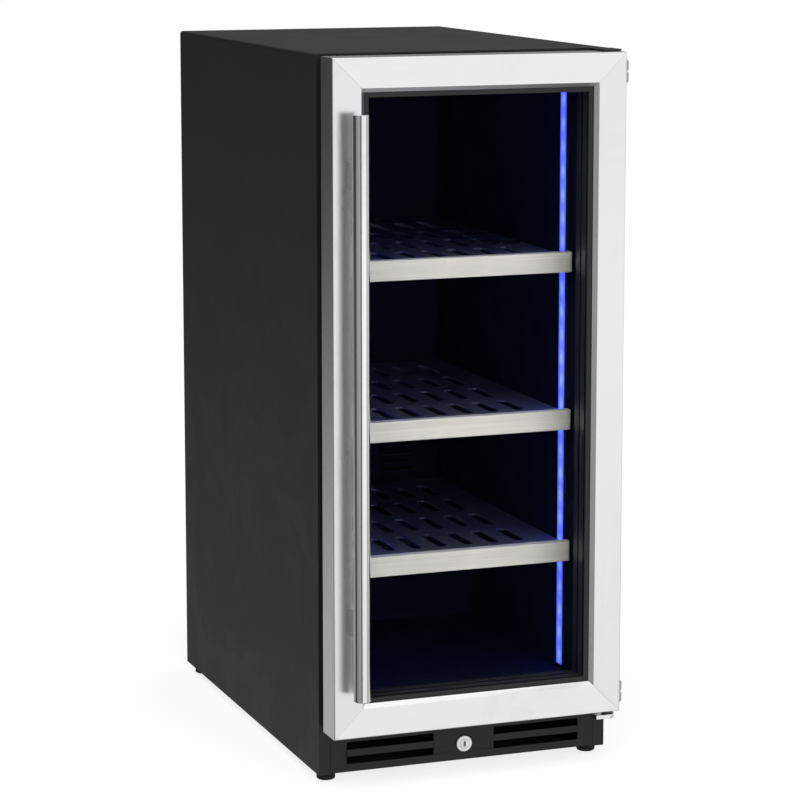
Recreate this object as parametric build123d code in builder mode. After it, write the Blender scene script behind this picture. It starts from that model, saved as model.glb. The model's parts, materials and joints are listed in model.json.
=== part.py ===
"""Under-counter wine cooler, 15 inch class, with a glass door hinged on the right.

Millimetres. The front faces -Y, +X is the viewer's right and +Z is up. The origin is on the
floor, under the middle of the whole appliance's box, handle and door included.
"""

from build123d import *
import os

os.makedirs("parts", exist_ok=True)

# ---- Driving dimensions -------------------------------------------------------------------

cabinet_width = 375.0
cabinet_height = 868.0
cabinet_depth = 565.0
foot_height = 10.0
sheet = 1.0
front_flange = 14.5

door_width = 371.0
door_height = 808.0
door_thickness = 40.5
door_gap = 11.0
door_drop = 2.3
stile_face = 35.5
stile_bevel = 5.0
sight_inset = 46.5

cavity_half_width = 153.0
cavity_floor = 97.0
cavity_ceiling = 837.0
cavity_depth = 530.0
step_depth = 360.0
step_height = 235.0
liner_wall = 2.0
frame_depth = 3.0

shelf_tops = {"top": 630.0, "middle": 435.0, "bottom": 270.0}
trim_height = 24.7
trim_setback = 15.0
trim_depth = 12.0
shelf_half_width = 147.0
shelf_back = 466.0

deck_height = 66.0
compartment_front = 396.0
compartment_top = 205.0

handle_radius = 10.0
handle_length = 692.0
handle_inset = 26.5
handle_offset = 24.0
handle_bottom = 120.0
post_width = 14.0
post_height = 35.0
post_heights = (211.5, 740.0)

hinge_inset = 7.5
hinge_setback = 30.0
hinge_pin_radius = 3.0
running_clearance = 0.05

knuckle_reach = 6.0

lock_height = 31.5

fan_side = 92.0

# ---- Places worked out from them ----------------------------------------------------------

handle_reach = door_gap + door_thickness + handle_offset + handle_radius
centre_x = -(door_width / 2 + knuckle_reach - cabinet_width / 2) / 2
front = -(cabinet_depth - handle_reach) / 2
back = front + cabinet_depth
left = centre_x - cabinet_width / 2
right = centre_x + cabinet_width / 2
bottom = foot_height
top = bottom + cabinet_height

door_left = centre_x - door_width / 2
door_right = centre_x + door_width / 2
door_top = top - door_drop
door_bottom = door_top - door_height
door_back = front - door_gap
door_front = door_back - door_thickness

hinge_x = door_right - hinge_inset
hinge_y = front - hinge_setback

cavity_left = centre_x - cavity_half_width
cavity_right = centre_x + cavity_half_width

pieces = {}


# ---- Helpers ------------------------------------------------------------------------------


def facing_front(y):
    """A plane at this depth whose x is +X, whose y is +Z and whose normal is -Y."""
    return Plane(origin=(0, y, 0), x_dir=(1, 0, 0), z_dir=(0, -1, 0))


def facing_right(x):
    """A plane at this width whose x is +Y, whose y is +Z and whose normal is +X."""
    return Plane(origin=(x, 0, 0), x_dir=(0, 1, 0), z_dir=(1, 0, 0))


def rectangle_between(u0, u1, v0, v1, mode=Mode.ADD):
    """A rectangle in the open sketch, given by its two limits each way."""
    with Locations(((u0 + u1) / 2, (v0 + v1) / 2)):
        Rectangle(u1 - u0, v1 - v0, mode=mode)


def block(x0, x1, y0, y1, z0, z1, mode=Mode.ADD):
    """A box in the open part, given by its two limits each way."""
    with Locations(((x0 + x1) / 2, (y0 + y1) / 2, (z0 + z1) / 2)):
        Box(x1 - x0, y1 - y0, z1 - z0, mode=mode)


def post(x, y, z0, z1, radius, mode=Mode.ADD):
    """An upright cylinder in the open part."""
    with BuildSketch(Plane.XY.offset(z0)) as disc:
        with Locations((x, y)):
            Circle(radius)
    extrude(disc.sketch, amount=z1 - z0, mode=mode)


def rod(x, z, y0, y1, radius, mode=Mode.ADD):
    """A cylinder along Y in the open part."""
    with BuildSketch(facing_front(y0)) as disc:
        with Locations((x, z)):
            Circle(radius)
    extrude(disc.sketch, amount=y0 - y1, mode=mode)


def ring_plate(outer, inner, y0, y1):
    """A flat ring between two depths; outer and inner are (x0, x1, z0, z1)."""
    with BuildSketch(facing_front(y0)) as ring:
        rectangle_between(*outer)
        rectangle_between(*inner, mode=Mode.SUBTRACT)
    extrude(ring.sketch, amount=y0 - y1)


def inset_door(distance):
    """The door's outline moved inwards, as (x0, x1, z0, z1)."""
    return (
        door_left + distance,
        door_right - distance,
        door_bottom + distance,
        door_top - distance,
    )


# ---- Cabinet shell ------------------------------------------------------------------------

wrapper_bend = 4.0

with BuildPart() as outer_wrapper:
    with BuildSketch(facing_front(front)) as wrapper_outline:
        rectangle_between(left, right, bottom, top)
        fillet(wrapper_outline.vertices().group_by(Axis.Y)[-1], wrapper_bend)
    extrude(amount=-cabinet_depth)
    with BuildSketch(facing_front(front + sheet)) as wrapper_inside:
        rectangle_between(left + sheet, right - sheet, bottom - sheet, top - sheet)
        fillet(wrapper_inside.vertices().group_by(Axis.Y)[-1], wrapper_bend - sheet)
    extrude(amount=-cabinet_depth, mode=Mode.SUBTRACT)
    block(
        left + front_flange,
        right - front_flange,
        front - sheet,
        front + 2 * sheet,
        bottom - sheet,
        top - front_flange,
        mode=Mode.SUBTRACT,
    )
pieces["outer_wrapper"] = outer_wrapper

rear_recess = 2.5
rear_rib_count = 3
rear_rib_pitch = 190.0
rear_middle = (compartment_top + top) / 2

with BuildPart() as rear_panel:
    with BuildSketch(facing_front(back - rear_recess - sheet)) as rear_outline:
        rectangle_between(left + sheet, right - sheet, compartment_top + sheet, top - sheet)
        fillet(rear_outline.vertices().group_by(Axis.Y)[-1], wrapper_bend)
    extrude(amount=-sheet)
    for rib in range(rear_rib_count):
        rib_z = rear_middle + (rib - (rear_rib_count - 1) / 2) * rear_rib_pitch
        with Locations((centre_x, back - rear_recess, rib_z)):
            Box(cabinet_width - 90, 1.5, 14)
pieces["rear_panel"] = rear_panel

deck_turn = front + compartment_front
deck_back = back - rear_recess - sheet

with BuildPart() as deck_plate:
    with BuildSketch(facing_right(left + sheet)):
        rectangle_between(front + frame_depth, deck_turn + sheet, deck_height, deck_height + sheet)
        rectangle_between(deck_turn, deck_turn + sheet, deck_height, compartment_top + sheet)
        rectangle_between(deck_turn, deck_back, compartment_top, compartment_top + sheet)
    extrude(amount=cabinet_width - 2 * sheet)
pieces["deck_plate"] = deck_plate

foot_radius = 11.5
stud_radius = 4.0
stud_top = 36.0
pad_height = 8.5
foot_side = 172.0 * cabinet_width / 375.0
foot_rows = {"front": front + 20.0, "rear": front + 537.0}
pan_thickness = 1.2
pan_front = front + 8.0
pan_back = back - 9.0
pan_lip = 14.0
nut_flats = 14.0
nut_top = bottom + pan_thickness + 7.0

with BuildPart() as base_pan:
    block(left + sheet, right - sheet, pan_front, pan_back, bottom, bottom + pan_thickness)
    for edge in (left + sheet, right - sheet - pan_thickness):
        block(edge, edge + pan_thickness, pan_front, pan_back, bottom, bottom + pan_lip)
    block(left + sheet, right - sheet, pan_back - pan_thickness, pan_back, bottom, bottom + pan_lip)
    for row in foot_rows.values():
        for side in (-foot_side, foot_side):
            stud_x = centre_x + side
            with BuildSketch(Plane.XY.offset(bottom + pan_thickness)):
                with Locations((stud_x, row)):
                    RegularPolygon(nut_flats / 2, 6, major_radius=False)
            extrude(amount=nut_top - bottom - pan_thickness)
            post(stud_x, row, bottom, nut_top, stud_radius + running_clearance, Mode.SUBTRACT)
pieces["base_pan"] = base_pan

for row_name, row in foot_rows.items():
    for side_name, side in (("left", -foot_side), ("right", foot_side)):
        with BuildPart() as foot:
            post(centre_x + side, row, 0, pad_height, foot_radius)
            fillet(foot.edges().filter_by(GeomType.CIRCLE).group_by(Axis.Z)[0], 2.0)
            chamfer(foot.edges().filter_by(GeomType.CIRCLE).group_by(Axis.Z)[-1], 1.0)
            post(centre_x + side, row, pad_height, stud_top, stud_radius)
        pieces[f"foot_{row_name}_{side_name}"] = foot

# ---- Liner, frame and insulation ----------------------------------------------------------

liner_front = front + frame_depth
liner_bend = 8.0


def liner_outline(grow):
    """Corners of the cavity's side outline, with its step over the compressor, moved outwards."""
    return [
        (liner_front, cavity_floor - grow),
        (front + step_depth + grow, cavity_floor - grow),
        (front + step_depth + grow, step_height - grow),
        (front + cavity_depth + grow, step_height - grow),
        (front + cavity_depth + grow, cavity_ceiling + grow),
        (liner_front, cavity_ceiling + grow),
    ]


with BuildPart() as inner_liner:
    with BuildSketch(facing_right(cavity_left - liner_wall)):
        with BuildLine():
            Polyline(*liner_outline(liner_wall), close=True)
        make_face()
    extrude(amount=2 * (cavity_half_width + liner_wall))
    with BuildSketch(facing_right(cavity_left)) as cavity_side:
        with BuildLine():
            Polyline(*liner_outline(0), close=True)
        make_face()
        fillet(cavity_side.vertices().group_by(Axis.X)[1:], liner_bend)
    extrude(amount=2 * cavity_half_width, mode=Mode.SUBTRACT)
pieces["inner_liner"] = inner_liner

with BuildPart() as breaker_frame:
    ring_plate(
        (left + front_flange, right - front_flange, deck_height, top - front_flange),
        (cavity_left, cavity_right, cavity_floor, cavity_ceiling),
        front,
        front + frame_depth,
    )
    chamfer(breaker_frame.faces().filter_by(Axis.Y).group_by(Axis.Y)[0].face().inner_wires()[0].edges(), 1.2)
pieces["breaker_frame"] = breaker_frame

with BuildPart() as insulation_foam:
    block(
        left + sheet,
        right - sheet,
        liner_front,
        back - rear_recess - sheet,
        deck_height + sheet,
        top - sheet - wrapper_bend,
    )
    block(
        left - sheet,
        right + sheet,
        front + compartment_front,
        back,
        deck_height,
        compartment_top + sheet,
        mode=Mode.SUBTRACT,
    )
    with BuildSketch(facing_right(cavity_left - liner_wall)):
        with BuildLine():
            Polyline(*liner_outline(liner_wall), close=True)
        make_face()
    extrude(amount=2 * (cavity_half_width + liner_wall), mode=Mode.SUBTRACT)
pieces["insulation_foam"] = insulation_foam

# ---- Kick plate and lock ------------------------------------------------------------------

kick_thickness = 1.5
kick_bottom = bottom + 1.0
kick_clearance = 0.2
slot_height = 9.2
slot_near = 39.5
slot_far = 152.0
slot_corner = 1.5
slot_rows = (25.3, 43.3)
notch_left = -24.0
notch_right = 14.0
notch_bottom = 52.5
barrel_radius = 8.0
kick_lip = 7.0

with BuildPart() as kick_plate:
    with BuildSketch(facing_front(front)):
        rectangle_between(
            left + front_flange + kick_clearance,
            right - front_flange - kick_clearance,
            kick_bottom,
            deck_height,
        )
        slot_middle = (slot_near + slot_far) / 2
        slot_centres = [(centre_x + side * slot_middle, z) for side in (-1, 1) for z in slot_rows]
        with Locations(*slot_centres):
            RectangleRounded(slot_far - slot_near, slot_height, slot_corner, mode=Mode.SUBTRACT)
        rectangle_between(
            centre_x + notch_left, centre_x + notch_right, notch_bottom, deck_height, mode=Mode.SUBTRACT
        )
        with Locations((centre_x, lock_height)):
            Circle(barrel_radius + running_clearance, mode=Mode.SUBTRACT)
    extrude(amount=-kick_thickness)
    block(
        left + front_flange + kick_clearance,
        right - front_flange - kick_clearance,
        front,
        front + kick_lip,
        kick_bottom,
        kick_bottom + kick_thickness,
    )
pieces["kick_plate"] = kick_plate

lock_flange_radius = 10.3
plug_radius = 6.0
key_slot_width = 3.2
key_slot_height = 6.8
key_slot_depth = 8.0
lock_depth = 17.5
cam_thickness = 2.0
cam_reach = 26.0
cam_width = 9.0

with BuildPart() as lock_body:
    rod(centre_x, lock_height, front - 2.5, front, lock_flange_radius)
    chamfer(lock_body.edges().filter_by(GeomType.CIRCLE).group_by(Axis.Y)[0], 0.8)
    rod(centre_x, lock_height, front, front + lock_depth, barrel_radius)
    plug_bore = plug_radius + running_clearance
    rod(centre_x, lock_height, front - 3, front + lock_depth + 1, plug_bore, Mode.SUBTRACT)
pieces["lock_body"] = lock_body

with BuildPart() as lock_cylinder:
    rod(centre_x, lock_height, front - 3, front + lock_depth + 0.5, plug_radius)
    chamfer(lock_cylinder.edges().filter_by(GeomType.CIRCLE).group_by(Axis.Y)[0], 0.5)
    block(
        centre_x - key_slot_width / 2,
        centre_x + key_slot_width / 2,
        front - 4,
        front + key_slot_depth,
        lock_height - key_slot_height / 2,
        lock_height + key_slot_height / 2,
        mode=Mode.SUBTRACT,
    )
    rod(centre_x, lock_height, front + lock_depth, front + lock_depth + cam_thickness + 2, 3.0)
pieces["lock_cylinder"] = lock_cylinder

cam_front = front + lock_depth + 0.5

with BuildPart() as lock_cam:
    with BuildSketch(facing_front(cam_front)):
        with Locations((centre_x + (cam_reach - cam_width / 2) / 2, lock_height)):
            SlotCenterToCenter(cam_reach - cam_width / 2, cam_width)
        with Locations((centre_x, lock_height)):
            Circle(3.0, mode=Mode.SUBTRACT)
    extrude(amount=-cam_thickness)
pieces["lock_cam"] = lock_cam

strike_half_width = 9.0
strike_front = front - 19.0
strike_thickness = 2.5
strike_level = 58.5
strike_plate = 18.0
lip_bottom = 53.5
lip_front = cam_front + cam_thickness + 1.5
lip_back = lip_front + strike_thickness

with BuildPart() as lock_strike:
    with BuildSketch(facing_right(centre_x - strike_half_width)):
        rectangle_between(
            strike_front - strike_plate,
            strike_front + strike_thickness,
            door_bottom - strike_thickness,
            door_bottom,
        )
        rectangle_between(strike_front, strike_front + strike_thickness, strike_level, door_bottom)
        rectangle_between(strike_front, lip_back, strike_level, strike_level + strike_thickness)
        rectangle_between(lip_front, lip_back, lip_bottom, strike_level + strike_thickness)
    extrude(amount=2 * strike_half_width)
pieces["lock_strike"] = lock_strike

# ---- Hinges -------------------------------------------------------------------------------

leg_left = right - front_flange
leg_thickness = 3.0
plate_left = hinge_x - 18.0
plate_thickness = 5.0
plate_level = 55.4
plate_round = 9.0
upper_tab = 2.0
door_clearance = 0.3
leg_length = 30.0
screw_radius = 2.0
screw_head = 3.6
screw_rise = 1.6
leg_screw_inset = 9.0


def hinge_tab(z0, thickness):
    """A tab from the cabinet's front to past the hinge axis, round at its end."""
    with BuildSketch(Plane.XY.offset(z0)) as tab:
        rectangle_between(plate_left, right, hinge_y, front)
        with Locations((hinge_x, hinge_y)):
            Circle(plate_round)
        rectangle_between(plate_left, hinge_x, hinge_y - plate_round, hinge_y)
    extrude(tab.sketch, amount=thickness)


with BuildPart() as lower_hinge_bracket:
    hinge_tab(plate_level, plate_thickness)
    leg_foot = plate_level + plate_thickness
    block(leg_left, right, front - leg_thickness, front, plate_level, leg_foot + leg_length)
    post(hinge_x, hinge_y, plate_level - 1, leg_foot + 1, hinge_pin_radius, Mode.SUBTRACT)
    for z in (leg_foot + leg_screw_inset, leg_foot + leg_length - 7):
        rod((leg_left + right) / 2, z, front - 5, front + 1, screw_radius, Mode.SUBTRACT)
pieces["lower_hinge_bracket"] = lower_hinge_bracket

with BuildPart() as upper_hinge_bracket:
    hinge_tab(top - upper_tab, upper_tab)
    block(leg_left, right, front - leg_thickness, front, top - upper_tab - leg_length, top)
    post(hinge_x, hinge_y, top - upper_tab - 1, top + 1, hinge_pin_radius, Mode.SUBTRACT)
    for z in (top - upper_tab - leg_screw_inset, top - upper_tab - leg_length + 7):
        rod((leg_left + right) / 2, z, front - 5, front + 1, screw_radius, Mode.SUBTRACT)
pieces["upper_hinge_bracket"] = upper_hinge_bracket

pin_depth = 14.0

with BuildPart() as hinge_pins:
    post(hinge_x, hinge_y, plate_level, door_bottom + pin_depth, hinge_pin_radius)
    post(hinge_x, hinge_y, door_top - pin_depth, top, hinge_pin_radius)
pieces["hinge_pins"] = hinge_pins

bush_radius = 5.3
collar_radius = 7.0

with BuildPart() as hinge_bushes:
    post(hinge_x, hinge_y, plate_level + plate_thickness + door_clearance, door_bottom, collar_radius)
    post(hinge_x, hinge_y, door_bottom, door_bottom + pin_depth + 1, bush_radius)
    post(hinge_x, hinge_y, plate_level, door_bottom + pin_depth + door_clearance,
         hinge_pin_radius + running_clearance, Mode.SUBTRACT)
    post(hinge_x, hinge_y, door_top - pin_depth - 1, door_top, bush_radius)
    post(hinge_x, hinge_y, door_top - pin_depth - door_clearance, top,
         hinge_pin_radius + running_clearance, Mode.SUBTRACT)
pieces["hinge_bushes"] = hinge_bushes

with BuildPart() as hinge_screws:
    for z in (
        plate_level + plate_thickness + leg_screw_inset,
        plate_level + plate_thickness + leg_length - 7,
        top - upper_tab - leg_screw_inset,
        top - upper_tab - leg_length + 7,
    ):
        rod((leg_left + right) / 2, z, front - leg_thickness - screw_rise, front - leg_thickness, screw_head)
        rod((leg_left + right) / 2, z, front - leg_thickness, front, screw_radius)
    chamfer(hinge_screws.edges().filter_by(GeomType.CIRCLE).group_by(Axis.Y)[0], 0.6)
pieces["hinge_screws"] = hinge_screws

# ---- Door: mitred steel frame -------------------------------------------------------------

skin = 1.0
bend = 2.0
bevel_end = stile_face + stile_bevel
backward = Vector(0, 1, 0)
door_members = {
    "door_stile_left": (Vector(door_left, door_front, door_bottom), Vector(1, 0, 0), door_height),
    "door_stile_right": (Vector(door_right, door_front, door_top), Vector(-1, 0, 0), door_height),
    "door_rail_bottom": (Vector(door_right, door_front, door_bottom), Vector(0, 0, 1), door_width),
    "door_rail_top": (Vector(door_left, door_front, door_top), Vector(0, 0, -1), door_width),
}

for member_name, (corner, inward, length) in door_members.items():
    along = inward.cross(backward)
    with BuildPart() as member:
        with BuildSketch(Plane(origin=corner, x_dir=inward, z_dir=along)) as member_section:
            with BuildLine():
                Polyline(
                    (0, door_thickness),
                    (0, 0),
                    (stile_face, 0),
                    (bevel_end, stile_bevel),
                    (bevel_end - skin * 2**0.5, stile_bevel),
                    (stile_face - skin * (2**0.5 - 1), skin),
                    (skin, skin),
                    (skin, door_thickness),
                    close=True,
                )
            make_face()
        extrude(amount=length)
        outer_bend = member.edges().filter_by(Axis(corner, along)).sort_by_distance(corner)[0]
        fillet(outer_bend, bend - skin * 0.5)
        split(bisect_by=Plane(origin=corner, x_dir=backward, z_dir=along - inward), keep=Keep.TOP)
        far_corner = corner + along * length
        split(bisect_by=Plane(origin=far_corner, x_dir=backward, z_dir=-along - inward), keep=Keep.TOP)
        if member_name.startswith("door_rail"):
            post(hinge_x, hinge_y, corner.Z - 5, corner.Z + 5, bush_radius + running_clearance, Mode.SUBTRACT)
    pieces[member_name] = member

core_skin_gap = 0.1
lip_setback = 6.0
pane = 4.0
glass_front = 8.0
glass_gap = 12.0
glass_inset = 38.5
glass_back = glass_front + 2 * pane + glass_gap
core_edge = skin + core_skin_gap

with BuildPart() as door_core:
    ring_plate(
        inset_door(core_edge),
        inset_door(stile_face - 2),
        door_front + core_edge,
        door_front + lip_setback,
    )
    ring_plate(inset_door(core_edge), inset_door(sight_inset), door_front + lip_setback, door_back)
    x0, x1, z0, z1 = inset_door(glass_inset - core_skin_gap)
    block(x0, x1, door_front + glass_front, door_front + glass_back, z0, z1, mode=Mode.SUBTRACT)
    bush_bore = bush_radius + running_clearance
    post(hinge_x, hinge_y, door_bottom, door_bottom + pin_depth + 2, bush_bore, Mode.SUBTRACT)
    post(hinge_x, hinge_y, door_top - pin_depth - 2, door_top, bush_bore, Mode.SUBTRACT)
pieces["door_core"] = door_core

for pane_name, pane_start in (
    ("door_outer_glass", glass_front),
    ("door_inner_glass", glass_front + pane + glass_gap),
):
    with BuildPart() as glass_pane:
        x0, x1, z0, z1 = inset_door(glass_inset)
        block(x0, x1, door_front + pane_start, door_front + pane_start + pane, z0, z1)
    pieces[pane_name] = glass_pane

with BuildPart() as glass_spacer:
    ring_plate(
        inset_door(glass_inset),
        inset_door(sight_inset),
        door_front + glass_front + pane,
        door_front + glass_front + pane + glass_gap,
    )
pieces["glass_spacer"] = glass_spacer

gasket_outer = 15.0
gasket_width = 13.0
gasket_head = 4.0
gasket_neck = 2.5
seal_gap = 0.3

with BuildPart() as door_gasket:
    x0, x1, z0, z1 = inset_door(gasket_outer)
    inner_edge = gasket_outer + gasket_width
    ring_plate(inset_door(gasket_outer), inset_door(inner_edge), front - gasket_head, front - seal_gap)
    ring_plate(
        inset_door(gasket_outer + gasket_neck),
        inset_door(inner_edge - gasket_neck),
        door_back,
        front - gasket_head,
    )
pieces["door_gasket"] = door_gasket

# ---- Handle -------------------------------------------------------------------------------

handle_x = door_left + handle_inset
handle_y = door_front - handle_offset
handle_wall = 1.5
cap_thickness = 1.5
plug_length = 6.0
handle_top = handle_bottom + handle_length

with BuildPart() as handle_tube:
    post(handle_x, handle_y, handle_bottom + cap_thickness, handle_top - cap_thickness, handle_radius)
    post(handle_x, handle_y, handle_bottom, handle_top, handle_radius - handle_wall, Mode.SUBTRACT)
pieces["handle_tube"] = handle_tube

cap_plug_radius = handle_radius - handle_wall - running_clearance

with BuildPart() as handle_end_caps:
    post(handle_x, handle_y, handle_bottom, handle_bottom + cap_thickness, handle_radius)
    post(handle_x, handle_y, handle_top - cap_thickness, handle_top, handle_radius)
    cap_rims = handle_end_caps.edges().filter_by(GeomType.CIRCLE)
    fillet(cap_rims.group_by(Axis.Z)[0] + cap_rims.group_by(Axis.Z)[-1], 0.7)
    post(handle_x, handle_y, handle_bottom + cap_thickness, handle_bottom + plug_length, cap_plug_radius)
    post(handle_x, handle_y, handle_top - plug_length, handle_top - cap_thickness, cap_plug_radius)
pieces["handle_end_caps"] = handle_end_caps

with BuildPart() as handle_posts:
    for z in post_heights:
        block(
            handle_x - post_width / 2,
            handle_x + post_width / 2,
            handle_y,
            door_front,
            z - post_height / 2,
            z + post_height / 2,
        )
    chamfer(handle_posts.edges().filter_by(Axis.Y), 0.8)
    post(handle_x, handle_y, handle_bottom, handle_top, handle_radius + running_clearance, Mode.SUBTRACT)
pieces["handle_posts"] = handle_posts

# ---- Hinge-side knuckles ------------------------------------------------------------------

knuckle_height = 13.4
knuckle_split = 0.8
knuckle_depth = 9.0
knuckle_y = door_front + 8.0
knuckle_centres = (90.2, 852.0)

with BuildPart() as side_knuckles:
    for centre in knuckle_centres:
        for direction in (-1, 1):
            z = centre + direction * (knuckle_height + knuckle_split) / 2
            block(
                door_right,
                door_right + knuckle_reach,
                knuckle_y,
                knuckle_y + knuckle_depth,
                z - knuckle_height / 2,
                z + knuckle_height / 2,
            )
    chamfer(side_knuckles.edges().filter_by(Axis.Y).group_by(Axis.X)[-1], 1.6)
pieces["side_knuckles"] = side_knuckles

# ---- Shelves ------------------------------------------------------------------------------

trim_front = front + trim_setback
trim_back = trim_front + trim_depth
trim_sheet = 1.2
trim_end_radius = 4.0
trim_rim_radius = 1.0
panel_drop = 6.0
panel_sheet = 2.0
flange_height = 14.0
flange_inset = 10.0
vent_slot = (14.0, 70.0)
pin_radius = 3.5
pin_inner = cavity_half_width - 13.5
pin_rows = (front + 38.0, front + 440.0)

for tier_name, tier_top in shelf_tops.items():
    trim_bottom = tier_top - trim_height
    trim_left = centre_x - shelf_half_width
    trim_right = centre_x + shelf_half_width
    with BuildPart() as trim:
        with BuildSketch(Plane.XY.offset(trim_bottom)) as trim_outline:
            rectangle_between(trim_left, trim_right, trim_front, trim_back)
            fillet(trim_outline.vertices().group_by(Axis.Y)[0], trim_end_radius)
        extrude(amount=trim_height)
        rims = trim.faces().filter_by(Axis.Z).edges().filter_by(lambda e: e.center().Y < trim_back - 1)
        fillet(rims, trim_rim_radius)
        with BuildSketch(Plane.XY.offset(trim_bottom + trim_sheet)) as trim_inside:
            inside_front = trim_front + trim_sheet
            rectangle_between(trim_left + trim_sheet, trim_right - trim_sheet, inside_front, trim_back)
            fillet(trim_inside.vertices().group_by(Axis.Y)[0], trim_end_radius - trim_sheet)
        extrude(amount=trim_height - 2 * trim_sheet, mode=Mode.SUBTRACT)
    pieces[f"shelf_trim_{tier_name}"] = trim

    panel_top = tier_top - panel_drop
    with BuildPart() as panel:
        block(
            centre_x - shelf_half_width,
            centre_x + shelf_half_width,
            trim_back,
            front + shelf_back,
            panel_top - panel_sheet,
            panel_top,
        )
        for y0 in (trim_back, front + shelf_back - panel_sheet):
            block(
                centre_x - shelf_half_width + flange_inset,
                centre_x + shelf_half_width - flange_inset,
                y0,
                y0 + panel_sheet,
                panel_top - flange_height,
                panel_top,
            )
        for side in (-1, 1):
            flange_x = centre_x + side * (shelf_half_width - flange_inset - panel_sheet / 2)
            block(
                flange_x - panel_sheet / 2,
                flange_x + panel_sheet / 2,
                trim_back,
                front + shelf_back,
                panel_top - flange_height,
                panel_top,
            )
        with BuildSketch(Plane.XY.offset(panel_top)):
            with Locations((centre_x, (trim_back + front + shelf_back) / 2)):
                with GridLocations(34.0, 96.0, 7, 4):
                    RectangleRounded(*vent_slot, 6.0)
        extrude(amount=-panel_sheet, mode=Mode.SUBTRACT)
    pieces[f"shelf_panel_{tier_name}"] = panel

with BuildPart() as shelf_pins:
    for tier_top in shelf_tops.values():
        pin_z = tier_top - panel_drop - panel_sheet - pin_radius
        for pin_y in pin_rows:
            for side in (-1, 1):
                with BuildSketch(facing_right(centre_x + side * pin_inner)):
                    with Locations((pin_y, pin_z)):
                        Circle(pin_radius)
                extrude(amount=side * (cavity_half_width - pin_inner))
pieces["shelf_pins"] = shelf_pins

# ---- Lighting -----------------------------------------------------------------------------

led_near = front + 46.0
led_far = front + 66.0
led_depth = 2.6
led_wall = 1.0
led_bottom = cavity_floor + 6.0
led_top = cavity_ceiling - 4.0

with BuildPart() as led_channels:
    for side in (-1, 1):
        wall_x = centre_x + side * cavity_half_width
        inner_x = wall_x - side * led_depth
        floor_x = wall_x - side * 0.8
        block(min(wall_x, inner_x), max(wall_x, inner_x), led_near, led_far, led_bottom, led_top)
        block(
            min(floor_x, inner_x),
            max(floor_x, inner_x),
            led_near + led_wall,
            led_far - led_wall,
            led_bottom + led_wall,
            led_top - led_wall,
            mode=Mode.SUBTRACT,
        )
pieces["led_channels"] = led_channels

with BuildPart() as led_diffusers:
    for side in (-1, 1):
        floor_x = centre_x + side * (cavity_half_width - 0.8)
        inner_x = centre_x + side * (cavity_half_width - led_depth)
        block(
            min(floor_x, inner_x),
            max(floor_x, inner_x),
            led_near + led_wall,
            led_far - led_wall,
            led_bottom + led_wall,
            led_top - led_wall,
        )
pieces["led_diffusers"] = led_diffusers

# ---- Control panel under the ceiling ------------------------------------------------------

control_half_width = 80.0
control_front = front + 24.0
control_back = front + 84.0
control_height = 12.5
control_wall = 1.6
touch_half_width = 62.0
touch_margin = 12.0
touch_thickness = 1.5

with BuildPart() as control_housing:
    block(
        centre_x - control_half_width,
        centre_x + control_half_width,
        control_front,
        control_back,
        cavity_ceiling - control_height,
        cavity_ceiling,
    )
    fillet(control_housing.edges().filter_by(Axis.Z), 4.0)
    block(
        centre_x - control_half_width + control_wall,
        centre_x + control_half_width - control_wall,
        control_front + control_wall,
        control_back - control_wall,
        cavity_ceiling - control_height + 2 * control_wall,
        cavity_ceiling,
        mode=Mode.SUBTRACT,
    )
    block(
        centre_x - touch_half_width,
        centre_x + touch_half_width,
        control_front + touch_margin,
        control_back - touch_margin,
        cavity_ceiling - control_height,
        cavity_ceiling - control_height + touch_thickness,
        mode=Mode.SUBTRACT,
    )
pieces["control_housing"] = control_housing

with BuildPart() as touch_panel:
    block(
        centre_x - touch_half_width,
        centre_x + touch_half_width,
        control_front + touch_margin,
        control_back - touch_margin,
        cavity_ceiling - control_height,
        cavity_ceiling - control_height + touch_thickness,
    )
pieces["touch_panel"] = touch_panel

with BuildPart() as control_board:
    block(
        centre_x - control_half_width + 6,
        centre_x + control_half_width - 6,
        control_front + 6,
        control_back - 6,
        cavity_ceiling - control_height + 2 * control_wall,
        cavity_ceiling - control_height + 3 * control_wall,
    )
pieces["control_board"] = control_board

# ---- Evaporator compartment ---------------------------------------------------------------

cover_front = front + 478.0
cover_sheet = 2.5
cover_half_width = 148.0
cover_bottom = step_height + 10.0
cover_top = cavity_ceiling - 6.0
evaporator_fan_z = 745.0
evaporator_fan_plane = facing_front(cover_front + cover_sheet + 3.0)
fan_bore = 43.0
fan_depth = 25.0

with BuildPart() as evaporator_cover:
    block(
        centre_x - cover_half_width,
        centre_x + cover_half_width,
        cover_front,
        cover_front + cover_sheet,
        cover_bottom,
        cover_top,
    )
    for side in (-1, 1):
        flange_x = centre_x + side * (cover_half_width - cover_sheet / 2)
        block(
            flange_x - cover_sheet / 2,
            flange_x + cover_sheet / 2,
            cover_front,
            front + cavity_depth - 4,
            cover_bottom,
            cover_top,
        )
    with BuildSketch(facing_front(cover_front)):
        with Locations((centre_x, evaporator_fan_z)):
            for ring_radius, slot_angle in ((16, 62), (27, 68), (38, 72)):
                for quarter in range(4):
                    SlotArc(
                        CenterArc((0, 0), ring_radius, quarter * 90 + (90 - slot_angle) / 2, slot_angle),
                        5.0,
                        mode=Mode.ADD,
                    )
        with Locations((centre_x, cover_bottom + 50)):
            with GridLocations(60, 11, 4, 4):
                SlotOverall(44, 5)
    extrude(amount=-cover_sheet, mode=Mode.SUBTRACT)
pieces["evaporator_cover"] = evaporator_cover

shaft_radius = 1.5
coil_tube_radius = 3.5


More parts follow.
